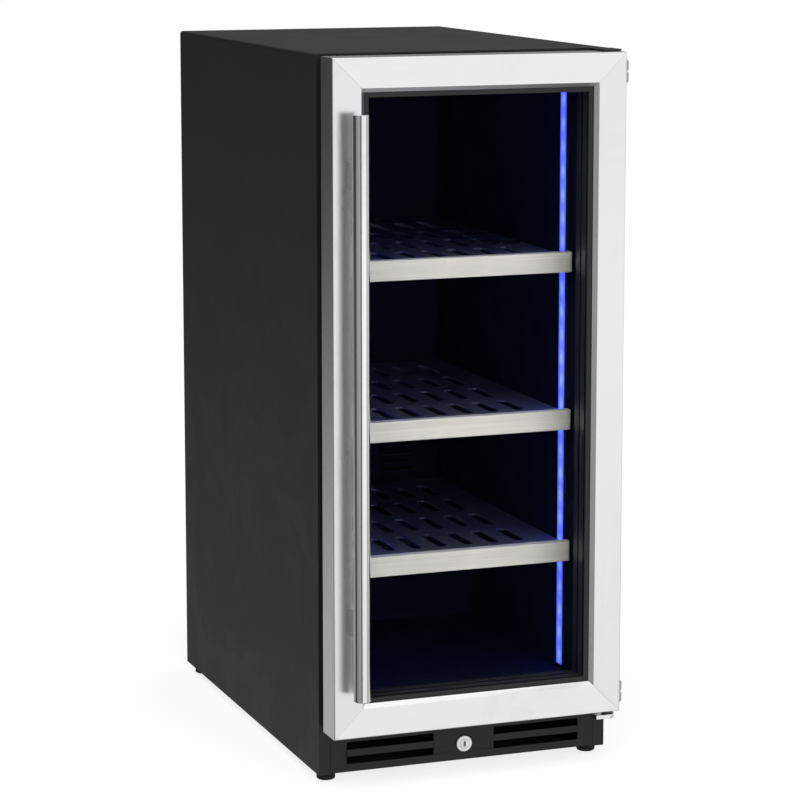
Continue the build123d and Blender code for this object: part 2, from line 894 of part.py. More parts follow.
def fan_frame(plane, side, bore, depth, hub):
    """A square fan frame about the plane's origin, with a hub on three struts at its back."""
    with BuildSketch(plane) as frame_ring:
        RectangleRounded(side, side, 5)
        Circle(bore, mode=Mode.SUBTRACT)
    extrude(frame_ring.sketch, amount=-depth)
    with BuildSketch(plane.offset(-depth)) as hub_and_struts:
        Circle(hub)
        with PolarLocations(bore / 2 + 1, 3):
            Rectangle(bore, 6)
    extrude(hub_and_struts.sketch, amount=4)
    with BuildSketch(plane.offset(-depth)) as shaft:
        Circle(shaft_radius)
    extrude(shaft.sketch, amount=depth - 4)


def fan_rotor(plane, depth, hub, tip, count, chord):
    """A hub with pitched blades, running on the frame's shaft."""
    with BuildSketch(plane.offset(-2)) as hub_disc:
        Circle(hub)
    extrude(hub_disc.sketch, amount=-(depth - 8))
    with Locations(plane.offset(-2 - (depth - 8) / 2)):
        with PolarLocations((hub + tip) / 2 - 1, count):
            Box(tip - hub + 2, chord, 1.6, rotation=(32, 0, 0))
    with BuildSketch(plane.offset(-depth)) as shaft_hole:
        Circle(shaft_radius + running_clearance)
    extrude(shaft_hole.sketch, amount=depth - 4 + door_clearance, mode=Mode.SUBTRACT)


evaporator_fan_front = evaporator_fan_plane.origin.Y
evaporator_fan_axis = evaporator_fan_plane.shift_origin((centre_x, evaporator_fan_front, evaporator_fan_z))

with BuildPart() as evaporator_fan_frame:
    fan_frame(evaporator_fan_axis, fan_side, fan_bore, fan_depth, 16.0)
pieces["evaporator_fan_frame"] = evaporator_fan_frame

with BuildPart() as evaporator_fan_blades:
    fan_rotor(evaporator_fan_axis, fan_depth, 15.0, 39.5, 7, 20.0)
pieces["evaporator_fan_blades"] = evaporator_fan_blades


def finned_coil(x0, x1, y0, y1, z0, z1, fin_pitch, tube_rows, tube_columns):
    """A block of upright fins threaded on straight tubes, with return bends at both ends."""
    fin_count = int((x1 - x0 - 30) // fin_pitch)
    middle = ((x0 + x1) / 2, (y0 + y1) / 2, (z0 + z1) / 2)
    with Locations(middle):
        with GridLocations(fin_pitch, 1, fin_count, 1):
            Box(0.8, y1 - y0, z1 - z0)
    row_pitch = (z1 - z0) / tube_rows
    column_pitch = (y1 - y0) / tube_columns
    for column in range(tube_columns):
        y = y0 + (column + 0.5) * column_pitch
        for row in range(tube_rows):
            z = z0 + (row + 0.5) * row_pitch
            with BuildSketch(facing_right(x0 + 12)) as tube:
                with Locations((y, z)):
                    Circle(coil_tube_radius)
            extrude(tube.sketch, amount=x1 - x0 - 24)
            if row < tube_rows - 1:
                end_x = x0 + 12 if row % 2 else x1 - 12
                turn = 180 if row % 2 else -180
                with BuildSketch(facing_right(end_x)) as bend_start:
                    with Locations((y, z)):
                        Circle(coil_tube_radius)
                bend_axis = Axis((end_x, y, z + row_pitch / 2), (0, 1, 0))
                revolve(bend_start.sketch, axis=bend_axis, revolution_arc=turn)


with BuildPart() as evaporator_coil:
    finned_coil(
        centre_x - 135,
        centre_x + 135,
        front + 486,
        front + 524,
        440.0,
        660.0,
        9.0,
        8,
        2,
    )
pieces["evaporator_coil"] = evaporator_coil

sensor_z = 700.0
sensor_y = front + 420.0

with BuildPart() as thermostat_sensor:
    with BuildSketch(Plane.XY.offset(sensor_z)):
        with Locations((cavity_left + 4.0, sensor_y)):
            Circle(3.0)
    extrude(amount=34)
    fillet(thermostat_sensor.edges().filter_by(GeomType.CIRCLE), 1.5)
    block(cavity_left, cavity_left + 4, sensor_y - 6, sensor_y + 6, sensor_z + 8, sensor_z + 20)
pieces["thermostat_sensor"] = thermostat_sensor

# ---- Compressor compartment ---------------------------------------------------------------

compressor_x = centre_x + 70.0
compressor_y = front + 480.0
pan_top = bottom + pan_thickness
grommet_height = 12.0
foot_plate = 2.5
shell_bottom = pan_top + grommet_height + foot_plate
shell_height = 142.0

with BuildPart() as compressor:
    with BuildSketch(Plane.XY.offset(shell_bottom)):
        with Locations((compressor_x, compressor_y)):
            Ellipse(84, 64)
    extrude(amount=shell_height)
    fillet(compressor.edges().group_by(Axis.Z)[-1], 30)
    fillet(compressor.edges().group_by(Axis.Z)[0], 12)
    with BuildSketch(Plane.XY.offset(shell_bottom + 14)):
        with Locations((compressor_x, compressor_y)):
            Ellipse(74, 54)
    extrude(amount=shell_height - 44, mode=Mode.SUBTRACT)
    block(
        compressor_x - 88,
        compressor_x + 88,
        compressor_y - 66,
        compressor_y + 66,
        shell_bottom - foot_plate,
        shell_bottom + foot_plate / 2,
    )
    with BuildSketch(Plane.XY.offset(shell_bottom - foot_plate)):
        with Locations((compressor_x, compressor_y)):
            with GridLocations(152, 108, 2, 2):
                Circle(6.0)
    extrude(amount=2 * foot_plate, mode=Mode.SUBTRACT)
pieces["compressor"] = compressor

with BuildPart() as compressor_grommets:
    with BuildSketch(Plane.XY.offset(pan_top)):
        with Locations((compressor_x, compressor_y)):
            with GridLocations(152, 108, 2, 2):
                Circle(9.0)
    extrude(amount=grommet_height)
    with BuildSketch(Plane.XY.offset(pan_top + grommet_height)):
        with Locations((compressor_x, compressor_y)):
            with GridLocations(152, 108, 2, 2):
                Circle(5.9)
    extrude(amount=foot_plate + 3)
pieces["compressor_grommets"] = compressor_grommets

tray_bottom = shell_bottom + shell_height

with BuildPart() as drip_tray:
    block(
        compressor_x - 60,
        compressor_x + 60,
        compressor_y - 42,
        compressor_y + 42,
        tray_bottom,
        tray_bottom + 20,
    )
    fillet(drip_tray.edges().filter_by(Axis.Z), 8)
    offset(amount=-1.6, openings=drip_tray.faces().sort_by(Axis.Z)[-1])
pieces["drip_tray"] = drip_tray

condenser_x = centre_x - 105.0
condenser_bottom = pan_top + 4.0
condenser_fan_side = 120.0
condenser_fan_front = front + 410.0

condenser_fan_axis = facing_front(condenser_fan_front).shift_origin(
    (condenser_x, condenser_fan_front, condenser_bottom + condenser_fan_side / 2)
)

with BuildPart() as condenser_fan_frame:
    fan_frame(condenser_fan_axis, condenser_fan_side, 56.0, fan_depth, 20.0)
pieces["condenser_fan_frame"] = condenser_fan_frame

with BuildPart() as condenser_fan_blades:
    fan_rotor(condenser_fan_axis, fan_depth, 19.0, 52.0, 7, 24.0)
pieces["condenser_fan_blades"] = condenser_fan_blades

with BuildPart() as condenser_coil:
    finned_coil(
        condenser_x - 72,
        condenser_x + 72,
        front + 446,
        front + 502,
        condenser_bottom,
        condenser_bottom + 130,
        7.0,
        5,
        2,
    )
pieces["condenser_coil"] = condenser_coil

cover_recess = 8.0
gland_x = centre_x - 150.0
gland_z = 40.0

with BuildPart() as rear_cover:
    block(
        left + sheet + 1,
        right - sheet - 1,
        back - cover_recess - sheet,
        back - cover_recess,
        bottom + pan_lip + 1,
        compartment_top - 1,
    )
    with BuildSketch(facing_front(back - cover_recess - sheet)):
        with Locations((centre_x, (bottom + compartment_top) / 2 + 18)):
            with GridLocations(84, 13, 4, 9):
                SlotOverall(66, 5)
        with Locations((gland_x, gland_z)):
            Circle(8.0)
    extrude(amount=-sheet, mode=Mode.SUBTRACT)
pieces["rear_cover"] = rear_cover

with BuildPart() as cord_gland:
    rod(gland_x, gland_z, back - cover_recess - 6, back - cover_recess, 7.95)
    rod(gland_x, gland_z, back - cover_recess, back - 3, 10.5)
    fillet(cord_gland.edges().filter_by(GeomType.CIRCLE).group_by(Axis.Y)[-1], 1.5)
    rod(gland_x, gland_z, back - cover_recess - 7, back, 3.6, Mode.SUBTRACT)
pieces["cord_gland"] = cord_gland

with BuildPart() as panel_screws:
    for side in (-1, 1):
        screw_x = centre_x + side * (cabinet_width / 2 - 12)
        for z in (compartment_top + 12, rear_middle, top - 14):
            rod(screw_x, z, back - rear_recess, back - rear_recess + screw_rise, screw_head)
        for z in (bottom + pan_lip + 12, compartment_top - 14):
            rod(screw_x, z, back - cover_recess, back - cover_recess + screw_rise, screw_head)
pieces["panel_screws"] = panel_screws

# ---- Writing the pieces -------------------------------------------------------------------

for node, piece in pieces.items():
    piece.part.label = node
    export_step(piece.part, f"parts/{node}.step")
print(len(pieces), "pieces")
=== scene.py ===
"""Looks of the wine cooler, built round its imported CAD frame. Metres; the front faces -Y and +Z is up."""

import json
import math

import bpy
import numpy as np
from bpy.props import FloatProperty, FloatVectorProperty, IntProperty, PointerProperty
from bpy.types import Operator, Panel, PropertyGroup
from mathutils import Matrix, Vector

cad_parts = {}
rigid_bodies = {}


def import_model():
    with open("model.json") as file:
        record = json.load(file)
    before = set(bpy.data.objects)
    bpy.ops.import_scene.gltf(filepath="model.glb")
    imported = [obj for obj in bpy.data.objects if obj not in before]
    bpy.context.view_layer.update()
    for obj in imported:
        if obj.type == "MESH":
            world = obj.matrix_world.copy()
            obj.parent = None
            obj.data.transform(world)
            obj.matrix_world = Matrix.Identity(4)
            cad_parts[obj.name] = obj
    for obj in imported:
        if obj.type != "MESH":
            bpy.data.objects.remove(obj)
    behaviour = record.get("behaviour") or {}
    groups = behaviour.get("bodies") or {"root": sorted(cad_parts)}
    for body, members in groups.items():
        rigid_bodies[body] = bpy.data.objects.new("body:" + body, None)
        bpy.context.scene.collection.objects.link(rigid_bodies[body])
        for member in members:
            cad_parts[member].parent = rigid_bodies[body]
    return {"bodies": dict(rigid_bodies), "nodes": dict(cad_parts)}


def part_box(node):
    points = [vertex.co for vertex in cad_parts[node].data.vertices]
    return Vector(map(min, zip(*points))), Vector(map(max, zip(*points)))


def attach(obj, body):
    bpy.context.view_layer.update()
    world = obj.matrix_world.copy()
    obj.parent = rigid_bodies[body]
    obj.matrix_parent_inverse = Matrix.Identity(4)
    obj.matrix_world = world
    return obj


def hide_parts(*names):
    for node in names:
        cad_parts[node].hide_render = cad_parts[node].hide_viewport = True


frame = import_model()

bl_info = {
    "name": "Wine Cooler Finishes",
    "version": (1, 0, 0),
    "blender": (4, 5, 0),
    "location": "3D View > Sidebar > Wine Cooler",
    "description": "Gives the packed wine cooler its finishes, its detailed pieces and its stage",
    "category": "Object",
}

NODES = frame["nodes"]
MILLIMETRE = 0.001
SIDES = ("left", "right")
FOOT_NODES = [f"foot_{row}_{side}" for row in ("front", "rear") for side in SIDES]
TIERS = ("top", "middle", "bottom")

# Fixed measures, in metres where nothing else is said.
STREAK_STRETCH = 0.012  # how far brushed streaks are drawn out along the sheet
MERGE_DISTANCE = 0.00002  # joins a CAD node's loose triangles before its edges are rounded
BEVEL_ANGLE = math.radians(35)
LENS_BRIGHT, LENS_DARK = 0.0018, 0.0088  # distances off a light strip's middle
LENS_STRENGTH, LENS_SPILL = 2.6, 0.1  # a strip as it is looked at, and the light it throws
GASKET_HALF_WIDTH = 0.0065
FAN_BLADES = 7
HUB_RADII = {"evaporator": 0.0150, "condenser": 0.0190}
TIP_GAP = 0.0012
SHELL_X, SHELL_Y, SHELL_SEAM = 0.0838, 0.0638, 0.082  # half-axes of the compressor shell, height of its seam
WELD_RIPPLES = 160
STUD_RADIUS, STUD_START = 0.004, 0.0102
LAMP_INSET, LAMP_WIDTH = 0.003, 0.012
LAMP_POWER, LAMP_TURN = 0.9, math.radians(62)
LAMP_COLOUR = (0.02, 0.07, 1.0)
FLOOR_REACH = 60.0
FLOOR_GLOW = 0.80
SOFTBOX_PLACE, SOFTBOX_AIM, SOFTBOX_SIZE = (-0.6, -1.6, 3.2), (0.0, 0.0, 0.3), (3.0, 2.4)
CAMERA_PLACE = (-1.2885, -3.4792, 1.0750)
CAMERA_TILT, CAMERA_HEADING, CAMERA_SHIFT = -0.1533, -0.3556, -0.08

# The studio walls' levels by heading in degrees: 0 is straight in front and 90 is to the right.
WALL_LEVELS = (
    (-180, 0.03), (-150, 0.04), (-112, 0.04), (-96, 0.05), (-84, 0.24), (-40, 0.34), (-29, 0.28),
    (-25, 0.05), (-15, 0.05), (-11, 0.84), (46, 0.90), (54, 0.42), (84, 0.5), (98, 0.85),
    (128, 0.85), (145, 0.2), (180, 0.05),
)


# ---- Settings a user would change ----


def millimetres(name, description, default):
    """A length setting, given here in millimetres and kept in metres."""
    limits = {"default": default * MILLIMETRE, "min": 0.0}
    return FloatProperty(name=name, description=description, precision=5, unit="LENGTH", **limits)


def colour(name, description, default):
    """A colour setting."""
    return FloatVectorProperty(
        name=name, description=description, default=default, size=3, min=0.0, max=1.0, subtype="COLOR"
    )


class WineCoolerSizes(PropertyGroup):
    """Sizes of the small detail."""

    sheet_edge: millimetres("Sheet edge", "Rounding of the folded black sheets' edges", 0.5)
    steel_edge: millimetres("Steel edge", "Rounding of the door members' edges and mitres", 0.22)
    moulding_edge: millimetres("Moulding edge", "Rounding of the moulded pieces' edges", 0.4)
    gasket_corner: millimetres("Gasket corner", "Radius of the door gasket's corners", 8.0)
    blade_thickness: millimetres("Blade thickness", "Greatest thickness of the fan blades", 1.8)
    blade_pitch: millimetres("Blade pitch", "How far the blades would advance in one turn", 95.0)
    thread_pitch: millimetres("Thread pitch", "Pitch of the feet's threads", 1.25)
    thread_depth: millimetres("Thread depth", "Depth of the feet's threads", 0.55)
    foot_ribs: IntProperty(name="Foot ribs", description="Grip ribs round each foot", default=28, min=0)
    weld_radius: millimetres("Weld radius", "Radius of the compressor shell's weld bead", 1.6)
    lamp_pitch: millimetres("Lamp pitch", "Spacing of the lamps in each light strip", 29.0)


class WineCoolerColours(PropertyGroup):
    """Base colours of the finishes."""

    steel: colour("Steel", "Brushed steel of the door", (0.88, 0.88, 0.885))
    rail: colour("Rails", "Brushed steel of the door's top and bottom", (0.95, 0.95, 0.955))
    trim: colour("Shelf fronts", "Brushed steel of the shelf fronts", (0.565, 0.54, 0.51))
    enamel: colour("Enamel", "Powder coat of the cabinet", (0.0096, 0.0096, 0.0099))
    plastic: colour("Plastic", "Black moulded plastic", (0.009, 0.009, 0.010))
    liner: colour("Liner", "Plastic lining of the cavity", (0.002, 0.003, 0.010))
    light: colour("Light", "Middle of the light strips", (0.06, 0.125, 1.0))
    light_edge: colour("Light edge", "Margin of the light strips", (0.001, 0.009, 0.32))


class WineCoolerStage(PropertyGroup):
    """Floor, light and camera."""

    lens: FloatProperty(
        name="Lens", description="Focal length", default=132.24, min=1.0, subtype="DISTANCE_CAMERA"
    )
    floor_tone: FloatProperty(
        name="Floor tone", description="How pale the floor is", default=0.27, min=0.0, max=1.0
    )
    soft_light: FloatProperty(
        name="Soft light", description="Power of the overhead softbox", default=55.0, unit="POWER"
    )


def sizes():
    """The sizes in use."""
    return bpy.context.scene.wine_cooler_sizes


def colours():
    """The colours in use."""
    return bpy.context.scene.wine_cooler_colours


def new_object(name, data):
    """An object for a mesh, a lamp or a camera, in the scene."""
    made = bpy.data.objects.new(name, data)
    bpy.context.scene.collection.objects.link(made)
    return made


# ---- Node trees ----


class Recipe:
    """Adds and joins the nodes of one tree by short calls."""

    def __init__(self, tree):
        self.tree = tree
        self.shader = {}

    def set(self, socket, value):
        """Joins a socket to another, or gives it a value; a colour is given without its alpha."""
        if isinstance(value, bpy.types.NodeSocket):
            self.tree.links.new(value, socket)
        elif socket.type == "RGBA":
            socket.default_value = (*value, 1.0)
        else:
            socket.default_value = value

    def show(self, label, value):
        """Sets one of the finish's own sockets."""
        self.set(self.shader[label], value)

    def add(self, kind, inputs=None, **settings):
        """A new node; inputs are given by name or number."""
        node = self.tree.nodes.new(kind)
        for name, value in settings.items():
            setattr(node, name, value)
        for name, value in (inputs or {}).items():
            self.set(node.inputs[name], value)
        return node

    def math(self, operation, a, b=0.0, clamp=False):
        """One sum."""
        return self.add("ShaderNodeMath", {0: a, 1: b}, operation=operation, use_clamp=clamp).outputs[0]

    def times(self, a, b):
        """Product."""
        return self.math("MULTIPLY", a, b)

    def minus(self, a, b, clamp=False):
        """Difference."""
        return self.math("SUBTRACT", a, b, clamp)

    def blend(self, share, a, b):
        """Colour a turning into colour b."""
        node = self.add("ShaderNodeMix", {0: share}, data_type="RGBA")
        self.set(node.inputs[6], a)
        self.set(node.inputs[7], b)
        return node.outputs[2]

    def span(self, value, low, high, to_low=0.0, to_high=1.0, smooth=False):
        """Value's range from low to high, carried to another range."""
        inputs = {0: value, 1: low, 2: high, 3: to_low, 4: to_high}
        kind = "SMOOTHSTEP" if smooth else "LINEAR"
        return self.add("ShaderNodeMapRange", inputs, interpolation_type=kind).outputs[0]

    def noise(self, vector, scale, detail=3.0, roughness=0.55, distortion=0.0):
        """A noise's value."""
        inputs = dict(Vector=vector, Scale=scale, Detail=detail, Roughness=roughness, Distortion=distortion)
        return self.add("ShaderNodeTexNoise", inputs).outputs[0]

    def cells(self, vector, scale):
        """Every output of a Voronoi pattern."""
        return self.add("ShaderNodeTexVoronoi", {"Vector": vector, "Scale": scale}).outputs

    def ramp(self, value, stops):
        """A colour ramp through grey levels, given as (place, level)."""
        node = self.add("ShaderNodeValToRGB", {0: value})
        elements = node.color_ramp.elements
        while len(elements) < len(stops):
            elements.new(0.5)
        for element, (place, level) in zip(elements, stops):
            element.position = place
            element.color = (level, level, level, 1.0)
        return node.outputs[0]

    def place(self, scale=(1.0, 1.0, 1.0)):
        """Object coordinates, stretched by axis."""
        source = self.add("ShaderNodeTexCoord").outputs["Object"]
        return self.add("ShaderNodeMapping", {"Vector": source, "Scale": scale}).outputs[0]

    def split(self, vector):
        """A vector's X, Y and Z."""
        return self.add("ShaderNodeSeparateXYZ", {0: vector}).outputs

    def use(self, name, inputs):
        """A shared effect, built when it is first used and placed with its own values."""
        tree = bpy.data.node_groups.get(name) or EFFECTS[name]()
        node = self.add("ShaderNodeGroup", node_tree=tree)
        for label, value in inputs.items():
            self.set(node.inputs[label], value)
        return node.outputs

    def bump(self, height, strength, distance):
        """A normal from a height."""
        inputs = {"Height": height, "Strength": strength, "Distance": distance}
        return self.add("ShaderNodeBump", inputs).outputs[0]

    def marks(self, where, per_metre, cover):
        """Mask of the handling marks."""
        inputs = {"Vector": where, "Marks per metre": per_metre, "Cover": cover}
        return self.use("Handling marks", inputs)["Mask"]

    def dust(self, where, amount):
        """Mask of the settled dust."""
        return self.use("Settled dust", {"Vector": where, "Amount": amount})["Mask"]


def new_effect(name, inputs, outputs):
    """An empty shared effect of a vector and some numbers: its recipe, inner inputs and inner outputs."""
    tree = bpy.data.node_groups.new(name, "ShaderNodeTree")
    tree.interface.new_socket("Vector", in_out="INPUT", socket_type="NodeSocketVector")
    for label, default in inputs.items():
        socket = tree.interface.new_socket(label, in_out="INPUT", socket_type="NodeSocketFloat")
        socket.default_value = default
    for label in outputs:
        tree.interface.new_socket(label, in_out="OUTPUT", socket_type="NodeSocketFloat")
    recipe = Recipe(tree)
    return recipe, recipe.add("NodeGroupInput").outputs, recipe.add("NodeGroupOutput").inputs


def brushed_grain():
    """Long fine streaks with broader bands between them; the vector comes already stretched."""
    inputs = {"Streaks per metre": 1400.0, "Contrast": 1.0}
    recipe, given, made = new_effect("Brushed grain", inputs, ["Tone", "Height"])
    bands_per_streak, fine_share = 0.16, 0.6
    fine = recipe.noise(given["Vector"], given["Streaks per metre"], 2.0, 0.7)
    bands = recipe.times(given["Streaks per metre"], bands_per_streak)
    band = recipe.noise(given["Vector"], bands, 2.0, 0.5)
    fine_part = recipe.times(fine, fine_share)
    both = recipe.math("ADD", fine_part, recipe.times(band, 1 - fine_share))
    centred = recipe.times(recipe.minus(both, 0.5), given["Contrast"])
    recipe.set(made["Tone"], recipe.math("ADD", centred, 0.5, clamp=True))
    recipe.set(made["Height"], fine)
    return recipe.tree


def handling_marks():
    """Soft smears left by hands and cloths."""
    inputs = {"Marks per metre": 9.0, "Cover": 0.4}
    recipe, given, made = new_effect("Handling marks", inputs, ["Mask"])
    flecks_per_mark, bare_edge, edge_drop, softness = 14.0, 0.85, 0.6, 0.14
    smear = recipe.noise(given["Vector"], given["Marks per metre"], 4.0, 0.6, 1.4)
    flecks = recipe.times(given["Marks per metre"], flecks_per_mark)
    fleck = recipe.noise(given["Vector"], flecks, 2.0)
    edge = recipe.minus(bare_edge, recipe.times(given["Cover"], edge_drop))
    patch = recipe.span(smear, recipe.minus(edge, softness), edge, smooth=True)
    recipe.set(made["Mask"], recipe.times(patch, fleck))
    return recipe.tree


def fine_coat():
    """The slight texture of powder coat and enamel, and its cloudiness over a hand's width."""
    inputs = {"Grains per metre": 900.0}
    recipe, given, made = new_effect("Fine coat", inputs, ["Height", "Tone"])
    clouds_per_metre = 7.0
    recipe.set(made["Height"], recipe.noise(given["Vector"], given["Grains per metre"], 2.0, 0.6))
    recipe.set(made["Tone"], recipe.noise(given["Vector"], clouds_per_metre, 3.0, 0.6))
    return recipe.tree


def moulded_grain():
    """The pebbled skin of moulded plastic and rubber."""
    inputs = {"Pebbles per metre": 1300.0}
    recipe, given, made = new_effect("Moulded grain", inputs, ["Height", "Tone"])
    patches_per_pebble = 0.05
    cells = recipe.cells(given["Vector"], given["Pebbles per metre"])
    patches = recipe.times(given["Pebbles per metre"], patches_per_pebble)
    worn = recipe.noise(given["Vector"], patches, 3.0)
    recipe.set(made["Height"], cells["Distance"])
    recipe.set(made["Tone"], worn)
    return recipe.tree


def settled_dust():
    """A thin patchy film on whatever faces up."""
    inputs = {"Amount": 0.3}
    recipe, given, made = new_effect("Settled dust", inputs, ["Mask"])
    normal = recipe.add("ShaderNodeNewGeometry").outputs["Normal"]
    upward = recipe.span(recipe.split(normal)[2], 0.5, 1.0, smooth=True)
    patches_per_metre = 22.0
    patch = recipe.span(recipe.noise(given["Vector"], patches_per_metre, 5.0, 0.65), 0.35, 0.75)
    film = recipe.times(recipe.times(upward, patch), given["Amount"])
    recipe.set(made["Mask"], film)
    return recipe.tree


EFFECTS = {
    "Brushed grain": brushed_grain,
    "Handling marks": handling_marks,
    "Fine coat": fine_coat,
    "Moulded grain": moulded_grain,
    "Settled dust": settled_dust,
}


# ---- Finishes ----


def shade(rgb, factor):
    """A colour made lighter or darker."""
    return tuple(min(1.0, c * factor) for c in rgb)


def new_finish(name, **constants):
    """An empty finish with a Principled shader; constants go on the shader's own sockets."""
    material = bpy.data.materials.new(name)
    material.use_nodes = True
    material.node_tree.nodes.clear()
    recipe = Recipe(material.node_tree)
    shader = recipe.add("ShaderNodeBsdfPrincipled")
    recipe.add("ShaderNodeOutputMaterial", {0: shader.outputs[0]})
    recipe.shader = shader.inputs
    for label, value in constants.items():
        recipe.show(label.replace("_", " "), value)
    return material, recipe


def brushed_steel(name, along, tint, roughness, streaks=1500.0, contrast=1.2, spread=0.10, metal=1.0):
    """Brushed steel whose grain runs along one axis, 0 for X and 2 for Z."""
    material, recipe = new_finish(name, Metallic=metal)
    stretch = [1.0, 1.0, 1.0]
    stretch[along] = STREAK_STRETCH
    inputs = {"Vector": recipe.place(stretch), "Streaks per metre": streaks, "Contrast": contrast}
    grain = recipe.use("Brushed grain", inputs)
    marks = recipe.marks(recipe.place(), 6.0, 0.35)
    tone = recipe.blend(grain["Tone"], shade(tint, 1 - spread), shade(tint, 1 + spread))
    recipe.show("Base Color", recipe.blend(marks, tone, shade(tint, 0.95)))
    rough = recipe.span(grain["Tone"], 0.0, 1.0, roughness - 0.05, roughness + 0.05)
    recipe.show("Roughness", recipe.math("ADD", rough, recipe.times(marks, 0.025)))
    recipe.show("Normal", recipe.bump(grain["Height"], 0.10, 0.0001))
    return material


def black_enamel(name):
    """Satin powder coat, slightly cloudy, with a trace of dust on top."""
    material, recipe = new_finish(name, Specular_IOR_Level=0.36)
    base = colours().enamel
    where = recipe.place()
    coat = recipe.use("Fine coat", {"Vector": where, "Grains per metre": 1100.0})
    dust = recipe.dust(where, 0.06)
    marks = recipe.marks(where, 5.0, 0.45)
    tone = recipe.blend(coat["Tone"], shade(base, 0.9), shade(base, 1.1))
    recipe.show("Base Color", recipe.blend(dust, tone, (0.16, 0.155, 0.15)))
    rough = recipe.span(coat["Height"], 0.3, 0.7, 0.46, 0.56)
    recipe.show("Roughness", recipe.minus(rough, recipe.times(marks, 0.08)))
    recipe.show("Normal", recipe.bump(coat["Height"], 0.22, 0.0002))
    return material


def galvanised(name):
    """Zinc-coated sheet with its spangle."""
    material, recipe = new_finish(name, Metallic=1.0)
    where = recipe.place()
    spangle = recipe.cells(where, 95.0)["Color"]
    tone = recipe.add("ShaderNodeSeparateColor", {0: spangle}).outputs[0]
    dust = recipe.dust(where, 0.35)
    base = recipe.blend(tone, (0.40, 0.41, 0.42), (0.58, 0.59, 0.60))
    recipe.show("Base Color", recipe.blend(dust, base, (0.30, 0.29, 0.27)))
    recipe.show("Roughness", recipe.span(tone, 0.0, 1.0, 0.34, 0.5))
    recipe.show("Normal", recipe.bump(recipe.noise(where, 900.0), 0.10, 0.0001))
    return material


def chrome(name):
    """Polished plating with faint smears."""
    material, recipe = new_finish(name, Metallic=1.0)
    where = recipe.place()
    marks = recipe.marks(where, 90.0, 0.6)
    polish = recipe.noise(where, 2500.0, 2.0)
    tone = recipe.blend(marks, (0.88, 0.88, 0.89), (0.70, 0.70, 0.70))
    recipe.show("Base Color", tone)
    recipe.show("Roughness", recipe.span(marks, 0.0, 0.6, 0.10, 0.28))
    recipe.show("Normal", recipe.bump(polish, 0.04, 0.00005))
    return material


def moulded(name, tint, roughness, pebbles, strength, specular=0.4, dust=0.0):
    """Moulded plastic or rubber with its pebbled skin."""
    material, recipe = new_finish(name, Specular_IOR_Level=specular)
    where = recipe.place()
    grain = recipe.use("Moulded grain", {"Vector": where, "Pebbles per metre": pebbles})
    tone = recipe.blend(grain["Tone"], shade(tint, 0.75), shade(tint, 1.25))
    if dust:
        tone = recipe.blend(recipe.dust(where, dust), tone, (0.20, 0.19, 0.18))
    recipe.show("Base Color", tone)
    rough = recipe.span(grain["Tone"], 0.3, 0.7, roughness - 0.06, roughness + 0.06)
    recipe.show("Roughness", rough)
    recipe.show("Normal", recipe.bump(grain["Height"], strength, 0.0002))
    return material


def clear_glass(name):
    """Low-reflection glass; lamps shine through it."""
    material, recipe = new_finish(name, Metallic=0.0, IOR=1.03, Transmission_Weight=1.0)
    marks = recipe.marks(recipe.place(), 7.0, 0.5)
    tone = recipe.blend(marks, (0.97, 0.98, 0.975), (0.93, 0.94, 0.94))
    recipe.show("Base Color", tone)
    recipe.show("Roughness", recipe.span(marks, 0.0, 0.6, 0.0, 0.02))
    output = next(node for node in recipe.tree.nodes if node.type == "OUTPUT_MATERIAL")
    glass = output.inputs[0].links[0].from_socket
    shadow = recipe.add("ShaderNodeLightPath").outputs["Is Shadow Ray"]
    clear = recipe.add("ShaderNodeBsdfTransparent")
    mixed = recipe.add("ShaderNodeMixShader", {0: shadow, 1: glass, 2: clear.outputs[0]})
    recipe.set(output.inputs[0], mixed.outputs[0])
    return material


def foam(name):
    """Blown insulating foam with its open cells."""
    material, recipe = new_finish(name, Roughness=0.9)
    cells = recipe.cells(recipe.place(), 420.0)["Distance"]
    recipe.show("Base Color", recipe.blend(cells, (0.50, 0.42, 0.22), (0.78, 0.70, 0.46)))
    recipe.show("Normal", recipe.bump(cells, 0.6, 0.001))
    return material


def light_lens(name):
    """A frosted strip, brighter in the middle and at each lamp behind it."""
    material, recipe = new_finish(name, Roughness=0.35)
    lo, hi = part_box("led_diffusers")
    middle_y = (lo.y + hi.y) / 2
    where = recipe.split(recipe.place())
    turns = recipe.times(where["Z"], 2 * math.pi / sizes().lamp_pitch)
    lamp = recipe.span(recipe.math("COSINE", turns), -1.0, 1.0, 0.30, 1.0)
    off_centre = recipe.math("ABSOLUTE", recipe.minus(where["Y"], middle_y))
    middle = recipe.span(off_centre, LENS_DARK, LENS_BRIGHT, smooth=True)
    patches = recipe.span(recipe.noise(recipe.place((1.0, 1.0, 0.5)), 38.0), 0.3, 0.7, 0.7, 1.0)
    glow = recipe.times(recipe.times(lamp, middle), patches)
    edge, core = colours().light_edge, colours().light
    recipe.show("Emission Color", recipe.blend(glow, edge, core))
    # Painted lamp light: the lens's base colour is lighter down its middle and at each lamp, following the
    # glow mask.
    recipe.show("Base Color", recipe.blend(glow, (0.3, 0.32, 0.4), (0.6, 0.62, 0.7)))
    path = recipe.add("ShaderNodeLightPath").outputs
    looked_at = recipe.math("MAXIMUM", path["Is Camera Ray"], path["Is Transmission Ray"])
    straight = recipe.span(path["Glossy Depth"], 0.0, 1.0, 1.0, 0.0)
    bright = recipe.times(looked_at, straight)
    recipe.show("Emission Strength", recipe.span(bright, 0.0, 1.0, LENS_SPILL, LENS_STRENGTH))
    return material


